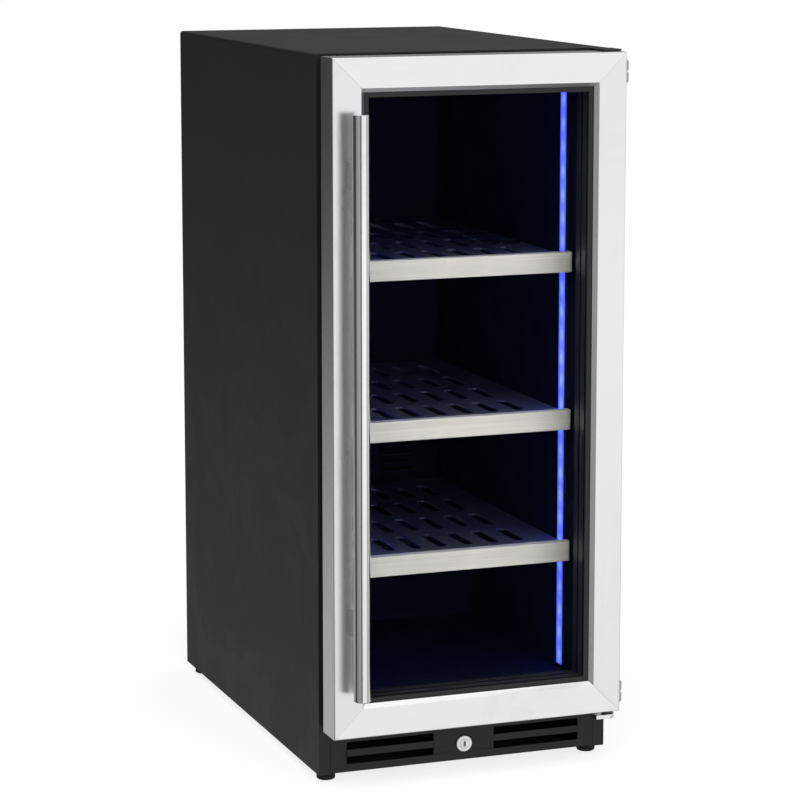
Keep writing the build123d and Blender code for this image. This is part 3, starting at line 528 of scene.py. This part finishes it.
def shelf_enamel(name):
    """Smooth dark coat of the shelf pans."""
    material, recipe = new_finish(name)
    where = recipe.place()
    coat = recipe.use("Fine coat", {"Vector": where, "Grains per metre": 700.0})
    tone = recipe.blend(coat["Tone"], (0.02, 0.022, 0.03), (0.045, 0.048, 0.06))
    recipe.show("Base Color", tone)
    recipe.show("Roughness", recipe.span(coat["Tone"], 0.3, 0.7, 0.26, 0.36))
    recipe.show("Normal", recipe.bump(coat["Height"], 0.1, 0.0001))
    return material


def coil_aluminium(name):
    """Mill-finish aluminium, dulled by handling."""
    material, recipe = new_finish(name, Metallic=1.0)
    stretched = recipe.place((0.02, 1.0, 1.0))
    grain = recipe.use("Brushed grain", {"Vector": stretched, "Streaks per metre": 900.0, "Contrast": 1.4})
    dust = recipe.dust(recipe.place(), 0.4)
    tone = recipe.blend(grain["Tone"], (0.52, 0.53, 0.54), (0.72, 0.73, 0.74))
    recipe.show("Base Color", recipe.blend(dust, tone, (0.33, 0.32, 0.30)))
    recipe.show("Roughness", recipe.span(grain["Tone"], 0.0, 1.0, 0.28, 0.44))
    recipe.show("Normal", recipe.bump(grain["Height"], 0.12, 0.0001))
    return material


def compressor_enamel(name):
    """Thick black paint with orange peel and a little dust."""
    material, recipe = new_finish(name, Coat_Roughness=0.12)
    where = recipe.place()
    coat = recipe.use("Fine coat", {"Vector": where, "Grains per metre": 260.0})
    dust = recipe.dust(where, 0.35)
    tone = recipe.blend(coat["Tone"], (0.008, 0.008, 0.009), (0.02, 0.02, 0.021))
    recipe.show("Base Color", recipe.blend(dust, tone, (0.18, 0.17, 0.16)))
    recipe.show("Roughness", recipe.span(dust, 0.0, 0.4, 0.3, 0.6))
    recipe.show("Coat Weight", recipe.span(dust, 0.0, 0.3, 0.5, 0.0))
    recipe.show("Normal", recipe.bump(coat["Height"], 0.25, 0.0006))
    return material


def touch_glass(name):
    """Black printed glass with a row of plain round touch rings."""
    material, recipe = new_finish(name, Roughness=0.08, Emission_Strength=0.6)
    lo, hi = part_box("touch_panel")
    where = recipe.split(recipe.place())
    rings, ring_radius, line_outer, line_inner = 5, 0.0062, 0.0006, 0.0003
    pitch = (hi.x - lo.x) / rings
    along = recipe.minus(where["X"], lo.x + pitch / 2 - 10 * pitch)
    cell = recipe.math("PINGPONG", along, pitch / 2)
    across = recipe.minus(where["Y"], (lo.y + hi.y) / 2)
    squares = recipe.math("ADD", recipe.times(cell, cell), recipe.times(across, across))
    off_ring = recipe.minus(recipe.math("SQRT", squares), ring_radius)
    ring = recipe.span(recipe.math("ABSOLUTE", off_ring), line_outer, line_inner)
    smear = recipe.marks(recipe.place(), 40.0, 0.6)
    base = recipe.blend(smear, (0.004, 0.004, 0.005), (0.02, 0.02, 0.022))
    recipe.show("Base Color", recipe.blend(ring, base, (0.5, 0.6, 0.7)))
    recipe.show("Emission Color", recipe.blend(ring, (0.0, 0.0, 0.0), (0.5, 0.75, 1.0)))
    return material


def circuit_green(name):
    """Solder mask with its copper runs showing through."""
    material, recipe = new_finish(name, Roughness=0.35)
    where = recipe.place()
    runs = recipe.add("ShaderNodeTexBrick", {"Vector": where, "Scale": 260.0, "Mortar Size": 0.06})
    tone = recipe.blend(runs.outputs["Fac"], (0.012, 0.10, 0.035), (0.03, 0.22, 0.07))
    recipe.show("Base Color", tone)
    recipe.show("Normal", recipe.bump(runs.outputs["Fac"], 0.3, 0.0001))
    return material


FINISHES = {
    "Upright brushed steel": lambda n: brushed_steel(n, 2, colours().steel, 0.25, spread=0.04),
    "Level brushed steel": lambda n: brushed_steel(n, 0, colours().rail, 0.30, spread=0.04),
    "Hinge steel": lambda n: brushed_steel(n, 2, (0.42, 0.42, 0.43), 0.34),
    "Shelf front steel": lambda n: brushed_steel(n, 0, colours().trim, 0.42, 900.0, 1.8, 0.20, 0.35),
    "Handle steel": lambda n: brushed_steel(n, 2, colours().steel, 0.13, 2200.0, 1.0, 0.05),
    "Black enamel": black_enamel,
    "Galvanised steel": galvanised,
    "Bright chrome": chrome,
    "Black plastic": lambda n: moulded(n, colours().plastic, 0.42, 1500.0, 0.25),
    "Frame plastic": lambda n: moulded(n, (0.013, 0.013, 0.014), 0.46, 1800.0, 0.06, 0.4),
    "Liner plastic": lambda n: moulded(n, colours().liner, 0.46, 500.0, 0.0, 0.12),
    "Clear glass": clear_glass,
    "Seal rubber": lambda n: moulded(n, (0.02, 0.02, 0.021), 0.62, 2600.0, 0.2, 0.3),
    "Foot rubber": lambda n: moulded(n, (0.011, 0.011, 0.011), 0.66, 1700.0, 0.4, 0.3),
    "Insulating foam": foam,
    "Light lens": light_lens,
    "Shelf enamel": shelf_enamel,
    "Coil aluminium": coil_aluminium,
    "Compressor enamel": compressor_enamel,
    "Touch panel glass": touch_glass,
    "Circuit board": circuit_green,
    "Spacer black": lambda n: moulded(n, (0.016, 0.016, 0.018), 0.38, 900.0, 0.1),
    "Bush plastic": lambda n: moulded(n, (0.05, 0.05, 0.05), 0.35, 1500.0, 0.1),
    "Grey plastic": lambda n: moulded(n, (0.09, 0.09, 0.095), 0.45, 1500.0, 0.2, 0.4, 0.3),
}


def finish_named(name):
    """The finish with this name, built when it is first asked for."""
    return bpy.data.materials.get(name) or FINISHES[name](name)


def dress(node, finish, edge="", segments=2):
    """Gives a CAD node its finish, and rounds its sharp edges where a kind of edge is named."""
    piece = NODES[node]
    for material_slot in piece.material_slots:
        material_slot.material = finish_named(finish)
    if edge:
        weld = piece.modifiers.new("Weld", "WELD")
        weld.merge_threshold = MERGE_DISTANCE
        bevel = piece.modifiers.new("Rounded edges", "BEVEL")
        bevel.width = getattr(sizes(), f"{edge}_edge")
        bevel.segments = segments
        bevel.limit_method = "ANGLE"
        bevel.angle_limit = BEVEL_ANGLE
        bevel.harden_normals = True


# ---- Surfaces worked out with numpy ----


def skin(rings, loop=False):
    """Quads over rings of points shaped (rings, around, 3). Every ring closes on itself; the first and
    last rings join where loop is true, and otherwise each closes with a fan to its middle. Faces point
    outwards: the order is turned round if the enclosed volume, the sum of a.(b x c)/6, is negative."""
    count, around, _ = rings.shape
    index = np.arange(count * around).reshape(count, around)
    near = index if loop else index[:-1]
    far = np.roll(index, -1, 0) if loop else index[1:]
    quads = np.stack([near, np.roll(near, -1, 1), np.roll(far, -1, 1), far], -1).reshape(-1, 4)
    points = rings.reshape(-1, 3)
    triangles = np.zeros((0, 3), int)
    if not loop:
        points = np.vstack([points, rings[0].mean(0), rings[-1].mean(0)])
        tip = count * around
        first = np.stack([np.roll(index[0], -1), index[0], np.full(around, tip)], -1)
        last = np.stack([index[-1], np.roll(index[-1], -1), np.full(around, tip + 1)], -1)
        triangles = np.vstack([first, last])
    halves = np.vstack([quads[:, [0, 1, 2]], quads[:, [0, 2, 3]], triangles])
    a, b, c = (points[halves[:, k]] for k in range(3))
    if (a * np.cross(b, c)).sum() < 0:
        quads, triangles = quads[:, ::-1], triangles[:, ::-1]
    return points, quads, triangles


def piece_from(name, skins, finish, body, replaces=(), crease=32.0):
    """One object from one or more closed skins, smooth except at creases, riding on its body."""
    points, faces, start = [], [], 0
    for skin_points, quads, triangles in skins:
        points.append(skin_points)
        faces += (quads + start).tolist() + (triangles + start).tolist()
        start += len(skin_points)
    mesh = bpy.data.meshes.new(name)
    mesh.from_pydata(np.vstack(points), [], faces)
    mesh.polygons.foreach_set("use_smooth", np.ones(len(mesh.polygons), bool))
    mesh.set_sharp_from_angle(angle=math.radians(crease))
    mesh.materials.append(finish_named(finish))
    piece = new_object(name, mesh)
    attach(piece, body)
    if replaces:
        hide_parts(*replaces)
    return piece


def turned(centre, radii, heights, around, ripple=0.0, ribs=0, axis="Z"):
    """A turned shape: at angle a the ring's radius is r - ripple * (1 - cos(ribs a)) / 2, where ripple is
    zero or one value per ring. The axis is Z, or Y with the heights going towards the back."""
    angle = np.linspace(0, 2 * np.pi, around, endpoint=False)
    wave = (1 - np.cos(ribs * angle)) / 2
    r = np.asarray(radii)[:, None] - np.broadcast_to(ripple, len(radii))[:, None] * wave[None, :]
    h = np.broadcast_to(np.asarray(heights)[:, None], r.shape)
    if axis == "Z":
        rings = np.stack([r * np.cos(angle), r * np.sin(angle), h], -1)
    else:
        rings = np.stack([r * np.cos(angle), h, r * np.sin(angle)], -1)
    return skin(rings + np.asarray(centre))


def rounded_loop(x0, x1, z0, z1, radius, corner_points):
    """A rounded rectangle facing front: its points and outward directions, going round. Each corner is the
    arc centre + radius * (cos a, sin a) over a quarter turn, and straight runs join the arcs."""
    turn = np.linspace(0, np.pi / 2, corner_points)
    angle = (turn[None, :] + np.arange(4)[:, None] * np.pi / 2).ravel()
    centre_x = np.repeat([x1 - radius, x0 + radius, x0 + radius, x1 - radius], corner_points)
    centre_z = np.repeat([z1 - radius, z1 - radius, z0 + radius, z0 + radius], corner_points)
    outward = np.stack([np.cos(angle), np.zeros_like(angle), np.sin(angle)], -1)
    centres = np.stack([centre_x, np.zeros_like(angle), centre_z], -1)
    return centres + radius * outward, outward


def gasket_skin():
    """The magnetic gasket: P(s, t) = C(s) + a(t) N(s) + b(t) Y, where C is the rounded loop round the
    door's back, N its outward direction, and (a, b) a profile of retaining foot, two folds and flat head,
    with half-width w(b) read from a table."""
    lo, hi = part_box("door_gasket")
    depth = hi.y - lo.y
    half = GASKET_HALF_WIDTH
    b = np.linspace(0, 1, 23)
    table_b = [0.0, 0.10, 0.20, 0.30, 0.40, 0.50, 0.58, 0.66, 0.72, 0.95, 1.0]
    table_w = [0.42, 0.62, 0.64, 0.40, 0.66, 0.46, 0.70, 0.90, 1.0, 1.0, 0.90]
    w = np.interp(b, table_b, table_w) * half
    w[0] = table_w[0] * half
    across = np.concatenate([w, -w[::-1]])
    along = lo.y + np.concatenate([b, b[::-1]]) * depth
    limits = (lo.x + half, hi.x - half, lo.z + half, hi.z - half)
    loop, outward = rounded_loop(*limits, sizes().gasket_corner, 9)
    rings = loop[:, None, :] + across[None, :, None] * outward[:, None, :]
    rings[:, :, 1] = along[None, :]
    return skin(rings, loop=True)


def blade_skins(centre, hub, tip, start, end, count):
    """Fan blades. At radius r a blade's section is an ellipse-like loop (chord/2 cos p, thickness/2 sin p),
    turned by the pitch angle atan(pitch / 2 pi r), bowed by a parabola along the chord and swept forward
    by a share of r squared; the thickness falls to nothing at the tip's edge. The root is sunk in the hub,
    and the blades fill a share of the rotor's depth."""
    sunk, filled, sweep = 0.86, 0.86, 0.22
    share = np.linspace(0, 1, 15)
    r = hub * sunk + (tip - hub * sunk) * share
    loop = np.linspace(0, 2 * np.pi, 25, endpoint=False)
    depth = (end - start) * filled
    pitch_angle = np.arctan2(sizes().blade_pitch, 2 * np.pi * r)
    widest = depth / np.sin(pitch_angle)
    chord = np.minimum(widest, (tip * 0.62) * (0.72 + 0.5 * share - 0.28 * share**6))
    thick = sizes().blade_thickness * (1 - 0.45 * share) * np.sqrt(np.clip(1.001 - share**10, 0, 1))
    u = 0.5 * chord[:, None] * np.cos(loop)[None, :]
    bow = 0.10 * chord[:, None] * (1 - np.cos(loop)[None, :] ** 2)
    v = 0.5 * thick[:, None] * np.sin(loop)[None, :] + bow - 0.05 * chord[:, None]
    c, s = np.cos(pitch_angle)[:, None], np.sin(pitch_angle)[:, None]
    tangent = u * c - v * s
    axial = np.clip(u * s + v * c, -depth / 2, depth / 2) + (start + end) / 2
    made = []
    for blade in range(count):
        angle = 2 * np.pi * blade / count + sweep * share[:, None] ** 2 + tangent / r[:, None]
        radius = np.broadcast_to(r[:, None], angle.shape)
        rings = np.stack([radius * np.cos(angle), axial, radius * np.sin(angle)], -1)
        made.append(skin(rings + np.asarray((centre[0], 0.0, centre[1]))))
    return made


def thread_rings(centre, radius, z0, z1, around):
    """A screw thread: at height z and angle a the radius is r - depth * (1 - cos(2 pi z / pitch - a)) / 2,
    fading out at both ends."""
    rings_per_turn = 7
    z = np.linspace(z0, z1, int((z1 - z0) / sizes().thread_pitch * rings_per_turn))
    angle = np.linspace(0, 2 * np.pi, around, endpoint=False)
    phase = 2 * np.pi * z[:, None] / sizes().thread_pitch - angle[None, :]
    fade = np.clip(np.minimum(z - z0, z1 - z) / sizes().thread_pitch, 0, 1)[:, None]
    r = radius - sizes().thread_depth * fade * (1 - np.cos(phase)) / 2
    rings = np.stack([r * np.cos(angle), r * np.sin(angle), np.broadcast_to(z[:, None], r.shape)], -1)
    return skin(rings + np.asarray(centre))


# ---- Operators: one for each group of pieces ----


class COOLER_OT_cabinet(Operator):
    """Powder coat on the folded cabinet and its back, zinc on the inner sheets, foam between them"""

    bl_idname = "wine_cooler.cabinet"
    bl_label = "Cabinet"

    def execute(self, context):
        dress("outer_wrapper", "Black enamel", "sheet", 3)
        dress("rear_panel", "Black enamel", "sheet")
        dress("rear_cover", "Black enamel")
        dress("deck_plate", "Galvanised steel", "sheet")
        dress("base_pan", "Galvanised steel")
        dress("insulation_foam", "Insulating foam")
        dress("panel_screws", "Bright chrome")
        dress("cord_gland", "Black plastic")
        return {"FINISHED"}


class COOLER_OT_cavity(Operator):
    """Lining and front frame of the cavity"""

    bl_idname = "wine_cooler.cavity"
    bl_label = "Cavity"

    def execute(self, context):
        dress("inner_liner", "Liner plastic")
        dress("breaker_frame", "Black plastic", "moulding")
        return {"FINISHED"}


class COOLER_OT_kick_plate(Operator):
    """Vented plate under the door"""

    bl_idname = "wine_cooler.kick_plate"
    bl_label = "Kick plate"

    def execute(self, context):
        dress("kick_plate", "Black enamel", "sheet")
        return {"FINISHED"}


class COOLER_OT_lock(Operator):
    """Key lock, its cam and the strike on the door"""

    bl_idname = "wine_cooler.lock"
    bl_label = "Lock"

    def execute(self, context):
        dress("lock_body", "Bright chrome")
        dress("lock_cylinder", "Bright chrome")
        dress("lock_cam", "Galvanised steel")
        dress("lock_strike", "Galvanised steel", "moulding")
        return {"FINISHED"}


class COOLER_OT_hinges(Operator):
    """Brackets, pins, bushes and screws of the door's two hinges, and the side knuckles"""

    bl_idname = "wine_cooler.hinges"
    bl_label = "Hinges"

    def execute(self, context):
        dress("lower_hinge_bracket", "Level brushed steel", "moulding")
        dress("upper_hinge_bracket", "Black enamel", "moulding")
        dress("hinge_pins", "Bright chrome")
        dress("hinge_bushes", "Bush plastic")
        dress("hinge_screws", "Bright chrome")
        dress("side_knuckles", "Hinge steel", "moulding")
        return {"FINISHED"}


class COOLER_OT_door_steel(Operator):
    """The four mitred members, each with its grain along its length, and the dark frame behind them"""

    bl_idname = "wine_cooler.door_steel"
    bl_label = "Door steel"

    def execute(self, context):
        for side in SIDES:
            dress(f"door_stile_{side}", "Upright brushed steel", "steel")
        for end in ("top", "bottom"):
            dress(f"door_rail_{end}", "Level brushed steel", "steel")
        dress("door_core", "Frame plastic", "moulding")
        return {"FINISHED"}


class COOLER_OT_door_glass(Operator):
    """Two panes with the dark spacer between them"""

    bl_idname = "wine_cooler.door_glass"
    bl_label = "Door glass"

    def execute(self, context):
        dress("door_outer_glass", "Clear glass")
        dress("door_inner_glass", "Clear glass")
        dress("glass_spacer", "Spacer black")
        return {"FINISHED"}


class COOLER_OT_door_seal(Operator):
    """Folded magnetic gasket round the door's back"""

    bl_idname = "wine_cooler.door_seal"
    bl_label = "Door seal"

    def execute(self, context):
        skins = [gasket_skin()]
        piece_from("gasket_bellows", skins, "Seal rubber", "door", ["door_gasket"], 50.0)
        return {"FINISHED"}


class COOLER_OT_handle(Operator):
    """Round tube on two posts"""

    bl_idname = "wine_cooler.handle"
    bl_label = "Handle"

    def execute(self, context):
        dress("handle_tube", "Handle steel")
        dress("handle_end_caps", "Handle steel")
        dress("handle_posts", "Handle steel", "moulding")
        return {"FINISHED"}


class COOLER_OT_shelves(Operator):
    """Slotted pans with brushed steel fronts, and the pins that carry them"""

    bl_idname = "wine_cooler.shelves"
    bl_label = "Shelves"

    def execute(self, context):
        for tier in TIERS:
            dress(f"shelf_trim_{tier}", "Shelf front steel", "moulding")
            dress(f"shelf_panel_{tier}", "Shelf enamel")
        dress("shelf_pins", "Black plastic")
        return {"FINISHED"}


class COOLER_OT_lighting(Operator):
    """Two blue light strips in the side walls"""

    bl_idname = "wine_cooler.lighting"
    bl_label = "Lighting"

    def execute(self, context):
        dress("led_channels", "Black plastic")
        dress("led_diffusers", "Light lens")
        lo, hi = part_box("led_diffusers")
        for side, x in zip(SIDES, (lo.x + LAMP_INSET, hi.x - LAMP_INSET)):
            self.lamp(side, Vector((x, (lo.y + hi.y) / 2, (lo.z + hi.z) / 2)), hi.z - lo.z)
        return {"FINISHED"}

    def lamp(self, side, centre, length):
        """A strip lamp just off the lens, shining across the cavity and backwards."""
        data = bpy.data.lights.new(f"strip_{side}", "AREA")
        data.shape = "RECTANGLE"
        data.size, data.size_y = LAMP_WIDTH, length
        data.energy = LAMP_POWER
        data.color = LAMP_COLOUR
        holder = new_object(f"strip_{side}", data)
        holder.location = centre
        turn = LAMP_TURN if side == "right" else -LAMP_TURN
        holder.rotation_euler = (math.pi / 2, 0.0, turn)
        holder.visible_camera = False
        holder.visible_glossy = False
        holder.visible_transmission = False


class COOLER_OT_controls(Operator):
    """Touch panel under the ceiling, with its board and the cavity's sensor"""

    bl_idname = "wine_cooler.controls"
    bl_label = "Controls"

    def execute(self, context):
        dress("control_housing", "Black plastic", "moulding")
        dress("touch_panel", "Touch panel glass")
        dress("control_board", "Circuit board")
        dress("thermostat_sensor", "Grey plastic")
        return {"FINISHED"}


class COOLER_OT_cooling(Operator):
    """Evaporator, both fans with twisted blades, condenser and drip tray"""

    bl_idname = "wine_cooler.cooling"
    bl_label = "Cooling"

    def execute(self, context):
        dress("evaporator_cover", "Liner plastic")
        dress("evaporator_coil", "Coil aluminium")
        dress("condenser_coil", "Coil aluminium")
        dress("drip_tray", "Grey plastic", "moulding")
        for fan, hub in HUB_RADII.items():
            dress(f"{fan}_fan_frame", "Black plastic", "moulding")
            self.rotor(fan, hub)
        return {"FINISHED"}

    def rotor(self, fan, hub):
        """A domed hub with its blades, inside the space of the CAD rotor."""
        lo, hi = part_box(f"{fan}_fan_blades")
        frame_lo, frame_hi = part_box(f"{fan}_fan_frame")
        centre = ((frame_lo.x + frame_hi.x) / 2, (frame_lo.z + frame_hi.z) / 2)
        tip = min(hi.z - centre[1], centre[1] - lo.z) - TIP_GAP
        front, back = lo.y, hi.y
        radii = np.array([0.30, 0.55, 0.80, 0.93, 1.0, 1.0, 0.98, 0.10]) * hub
        depths = front + np.array([0.0, 0.2, 0.8, 2.0, 4.2, 15.0, 15.6, 15.6]) * (back - front) / 16.0
        hub_skin = turned((centre[0], 0.0, centre[1]), radii, depths, 72, axis="Y")
        skins = [hub_skin, *blade_skins(centre, hub, tip, front, back, FAN_BLADES)]
        stands_for = [f"{fan}_fan_blades"]
        piece_from(f"{fan}_rotor", skins, "Grey plastic", f"{fan}_fan", stands_for)


class COOLER_OT_compressor(Operator):
    """Compressor shell with its weld bead, on rubber grommets"""

    bl_idname = "wine_cooler.compressor"
    bl_label = "Compressor"

    def execute(self, context):
        dress("compressor", "Compressor enamel")
        dress("compressor_grommets", "Foot rubber")
        lo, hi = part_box("compressor")
        bead = self.weld(((lo.x + hi.x) / 2, (lo.y + hi.y) / 2, lo.z + SHELL_SEAM))
        piece_from("compressor_weld", [bead], "Compressor enamel", "cabinet")
        return {"FINISHED"}

    def weld(self, middle):
        """The bead: a ring of radius w (1 + 0.12 sin n a), for n ripples, carried round the shell's ellipse
        (x cos a, y sin a). It stands 1.6 times as high as it is thick."""
        a = np.linspace(0, 2 * np.pi, 4 * WELD_RIPPLES, endpoint=False)
        p = np.linspace(0, 2 * np.pi, 12, endpoint=False)
        ellipse = np.stack([SHELL_X * np.cos(a), SHELL_Y * np.sin(a), np.zeros_like(a)], -1)
        outward = np.stack([SHELL_Y * np.cos(a), SHELL_X * np.sin(a), np.zeros_like(a)], -1)
        outward /= np.linalg.norm(outward, axis=1)[:, None]
        w = sizes().weld_radius * (1 + 0.12 * np.sin(WELD_RIPPLES * a))
        rings = ellipse[:, None, :] + (w[:, None] * np.cos(p))[:, :, None] * outward[:, None, :]
        rings[:, :, 2] += w[:, None] * np.sin(p) * 1.6
        return skin(rings + np.asarray(middle), loop=True)


class COOLER_OT_feet(Operator):
    """Four levelling feet with ribbed pads and threaded studs"""

    bl_idname = "wine_cooler.feet"
    bl_label = "Feet"

    def execute(self, context):
        radii = np.array([5.5, 6.0, 8.6, 9.9, 10.9, 11.4, 11.5, 11.5, 11.3, 10.5, 9.2, 4.4, 4.0])
        heights = np.array([0.6, 0.0, 0.0, 0.25, 0.95, 1.9, 2.8, 7.9, 8.8, 9.6, 10.0, 10.0, 10.6])
        ripple = np.array([0, 0, 0, 0, 0.1, 0.35, 0.5, 0.5, 0.4, 0.1, 0, 0, 0])
        radii, heights, ripple = (values * MILLIMETRE for values in (radii, heights, ripple))
        ribs = sizes().foot_ribs
        for node in FOOT_NODES:
            lo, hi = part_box(node)
            centre = ((lo.x + hi.x) / 2, (lo.y + hi.y) / 2, 0.0)
            pad = turned(centre, radii, heights, 8 * ribs, ripple, ribs)
            stud = thread_rings(centre, STUD_RADIUS, STUD_START, hi.z, 40)
            piece_from(f"{node}_turned", [pad, stud], "Foot rubber", node, [node])
        return {"FINISHED"}


class COOLER_OT_stage(Operator):
    """Pale floor, soft studio light and the camera"""

    bl_idname = "wine_cooler.stage"
    bl_label = "Stage"

    def execute(self, context):
        self.floor()
        self.surroundings()
        self.softbox()
        self.camera()
        context.scene.view_settings.view_transform = "Standard"
        return {"FINISHED"}

    def floor(self):
        """A level plane far wider than the view."""
        corners = np.array([[-1, -1], [1, -1], [1, 1], [-1, 1]]) * FLOOR_REACH
        mesh = bpy.data.meshes.new("floor")
        mesh.from_pydata(np.column_stack([corners, np.zeros(4)]), [], [[0, 1, 2, 3]])
        material, recipe = new_finish(
            "Pale floor",
            Roughness=0.9,
            Specular_IOR_Level=0.1,
            Emission_Color=(1.0, 1.0, 1.0),
            Emission_Strength=FLOOR_GLOW,
        )
        grey = (bpy.context.scene.wine_cooler_stage.floor_tone,) * 3
        cloud = recipe.noise(recipe.place(), 0.8, 3.0)
        recipe.show("Base Color", recipe.blend(cloud, shade(grey, 0.99), shade(grey, 1.01)))
        mesh.materials.append(material)
        floor = new_object("floor", mesh)
        floor.visible_glossy = False

    def surroundings(self):
        """Studio walls: white cards in front and to the right, grey and black ones elsewhere, pale above.
        Heights are the direction's Z, from -1 to 1. Just under eye level the walls are a little brighter,
        and beside the cabinet they glow towards the floor. What the camera sees directly is plain."""
        world = bpy.data.worlds.new("Studio")
        bpy.context.scene.world = world
        world.use_nodes = True
        world.node_tree.nodes.clear()
        recipe = Recipe(world.node_tree)
        direction = recipe.add("ShaderNodeTexCoord").outputs["Generated"]
        x, y, z = recipe.split(direction)
        turn = recipe.math("ARCTAN2", x, recipe.times(y, -1.0))
        place = recipe.span(turn, -math.pi, math.pi)
        walls = recipe.ramp(place, [((angle + 180) / 360, level) for angle, level in WALL_LEVELS])
        low = recipe.span(z, -0.09, -0.29, smooth=True)
        rise = recipe.span(z, -0.06, -0.115, 1.0, 1.23, smooth=True)
        fall = recipe.span(z, -0.15, -0.29, 0.0, 0.29)
        lifted = recipe.times(walls, recipe.minus(rise, fall))
        behind_left = recipe.span(turn, math.radians(-112), math.radians(-138))
        beside = recipe.times(low, behind_left)
        glow = recipe.times(beside, recipe.minus(1.0, walls, clamp=True))
        walls = recipe.math("ADD", lifted, recipe.times(glow, 0.45))
        above = recipe.span(z, 0.42, 0.66, smooth=True)
        ceiling = recipe.span(y, 0.1, -0.3, 0.6, 1.15)
        below = recipe.span(z, -0.5, -0.8, smooth=True)
        lit = recipe.blend(above, walls, ceiling)
        lit = recipe.blend(below, lit, (0.22, 0.22, 0.22))
        seen = recipe.add("ShaderNodeBackground", {0: (0.97, 0.97, 0.97)}).outputs[0]
        light = recipe.add("ShaderNodeBackground", {0: lit}).outputs[0]
        camera_ray = recipe.add("ShaderNodeLightPath").outputs["Is Camera Ray"]
        mixed = recipe.add("ShaderNodeMixShader", {0: camera_ray, 1: light, 2: seen})
        recipe.add("ShaderNodeOutputWorld", {0: mixed.outputs[0]})

    def softbox(self):
        """One large lamp overhead, in front and to the left."""
        lamp = bpy.data.lights.new("overhead_softbox", "AREA")
        lamp.energy = bpy.context.scene.wine_cooler_stage.soft_light
        lamp.shape = "RECTANGLE"
        lamp.size, lamp.size_y = SOFTBOX_SIZE
        holder = new_object("overhead_softbox", lamp)
        holder.location = SOFTBOX_PLACE
        aim = Vector(SOFTBOX_AIM) - holder.location
        holder.rotation_euler = aim.to_track_quat("-Z", "Y").to_euler()
        holder.visible_glossy = False

    def camera(self):
        """The camera, to the left of the object and a little above it, with a small downward shift."""
        data = bpy.data.cameras.new("camera")
        data.sensor_width = 36.0
        data.lens = bpy.context.scene.wine_cooler_stage.lens
        data.shift_y = CAMERA_SHIFT
        data.clip_end = 200.0
        camera = new_object("camera", data)
        camera.location = CAMERA_PLACE
        camera.rotation_euler = (math.pi / 2 + CAMERA_TILT, 0.0, CAMERA_HEADING)
        bpy.context.scene.camera = camera


OPERATORS = (
    COOLER_OT_stage,
    COOLER_OT_cabinet,
    COOLER_OT_cavity,
    COOLER_OT_kick_plate,
    COOLER_OT_lock,
    COOLER_OT_hinges,
    COOLER_OT_door_steel,
    COOLER_OT_door_glass,
    COOLER_OT_door_seal,
    COOLER_OT_handle,
    COOLER_OT_shelves,
    COOLER_OT_lighting,
    COOLER_OT_controls,
    COOLER_OT_cooling,
    COOLER_OT_compressor,
    COOLER_OT_feet,
)


class COOLER_PT_panel(Panel):
    """Every group of pieces, and the sizes and colours they use"""

    bl_idname = "COOLER_PT_panel"
    bl_label = "Wine Cooler"
    bl_space_type = "VIEW_3D"
    bl_region_type = "UI"
    bl_category = "Wine Cooler"

    def draw(self, context):
        for operator in OPERATORS:
            self.layout.operator(operator.bl_idname)
        scene = context.scene
        for settings in (scene.wine_cooler_sizes, scene.wine_cooler_colours, scene.wine_cooler_stage):
            box = self.layout.box()
            for name in settings.__annotations__:
                box.prop(settings, name)


SETTINGS = {
    "wine_cooler_sizes": WineCoolerSizes,
    "wine_cooler_colours": WineCoolerColours,
    "wine_cooler_stage": WineCoolerStage,
}


def register():
    for name, group in SETTINGS.items():
        bpy.utils.register_class(group)
        setattr(bpy.types.Scene, name, PointerProperty(type=group))
    for operator in OPERATORS:
        bpy.utils.register_class(operator)
    bpy.utils.register_class(COOLER_PT_panel)


def unregister():
    bpy.utils.unregister_class(COOLER_PT_panel)
    for operator in reversed(OPERATORS):
        bpy.utils.unregister_class(operator)
    for name, group in SETTINGS.items():
        delattr(bpy.types.Scene, name)
        bpy.utils.unregister_class(group)


def main():
    """Clears what a new file holds and carries out every operator in order."""
    kept = set(NODES.values()) | set(frame["bodies"].values())
    for spare in [o for o in bpy.data.objects if o not in kept]:
        bpy.data.objects.remove(spare)
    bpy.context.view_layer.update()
    register()
    for operator in OPERATORS:
        group, action = operator.bl_idname.split(".")
        getattr(getattr(bpy.ops, group), action)()


if __name__ == "__main__":
    main()
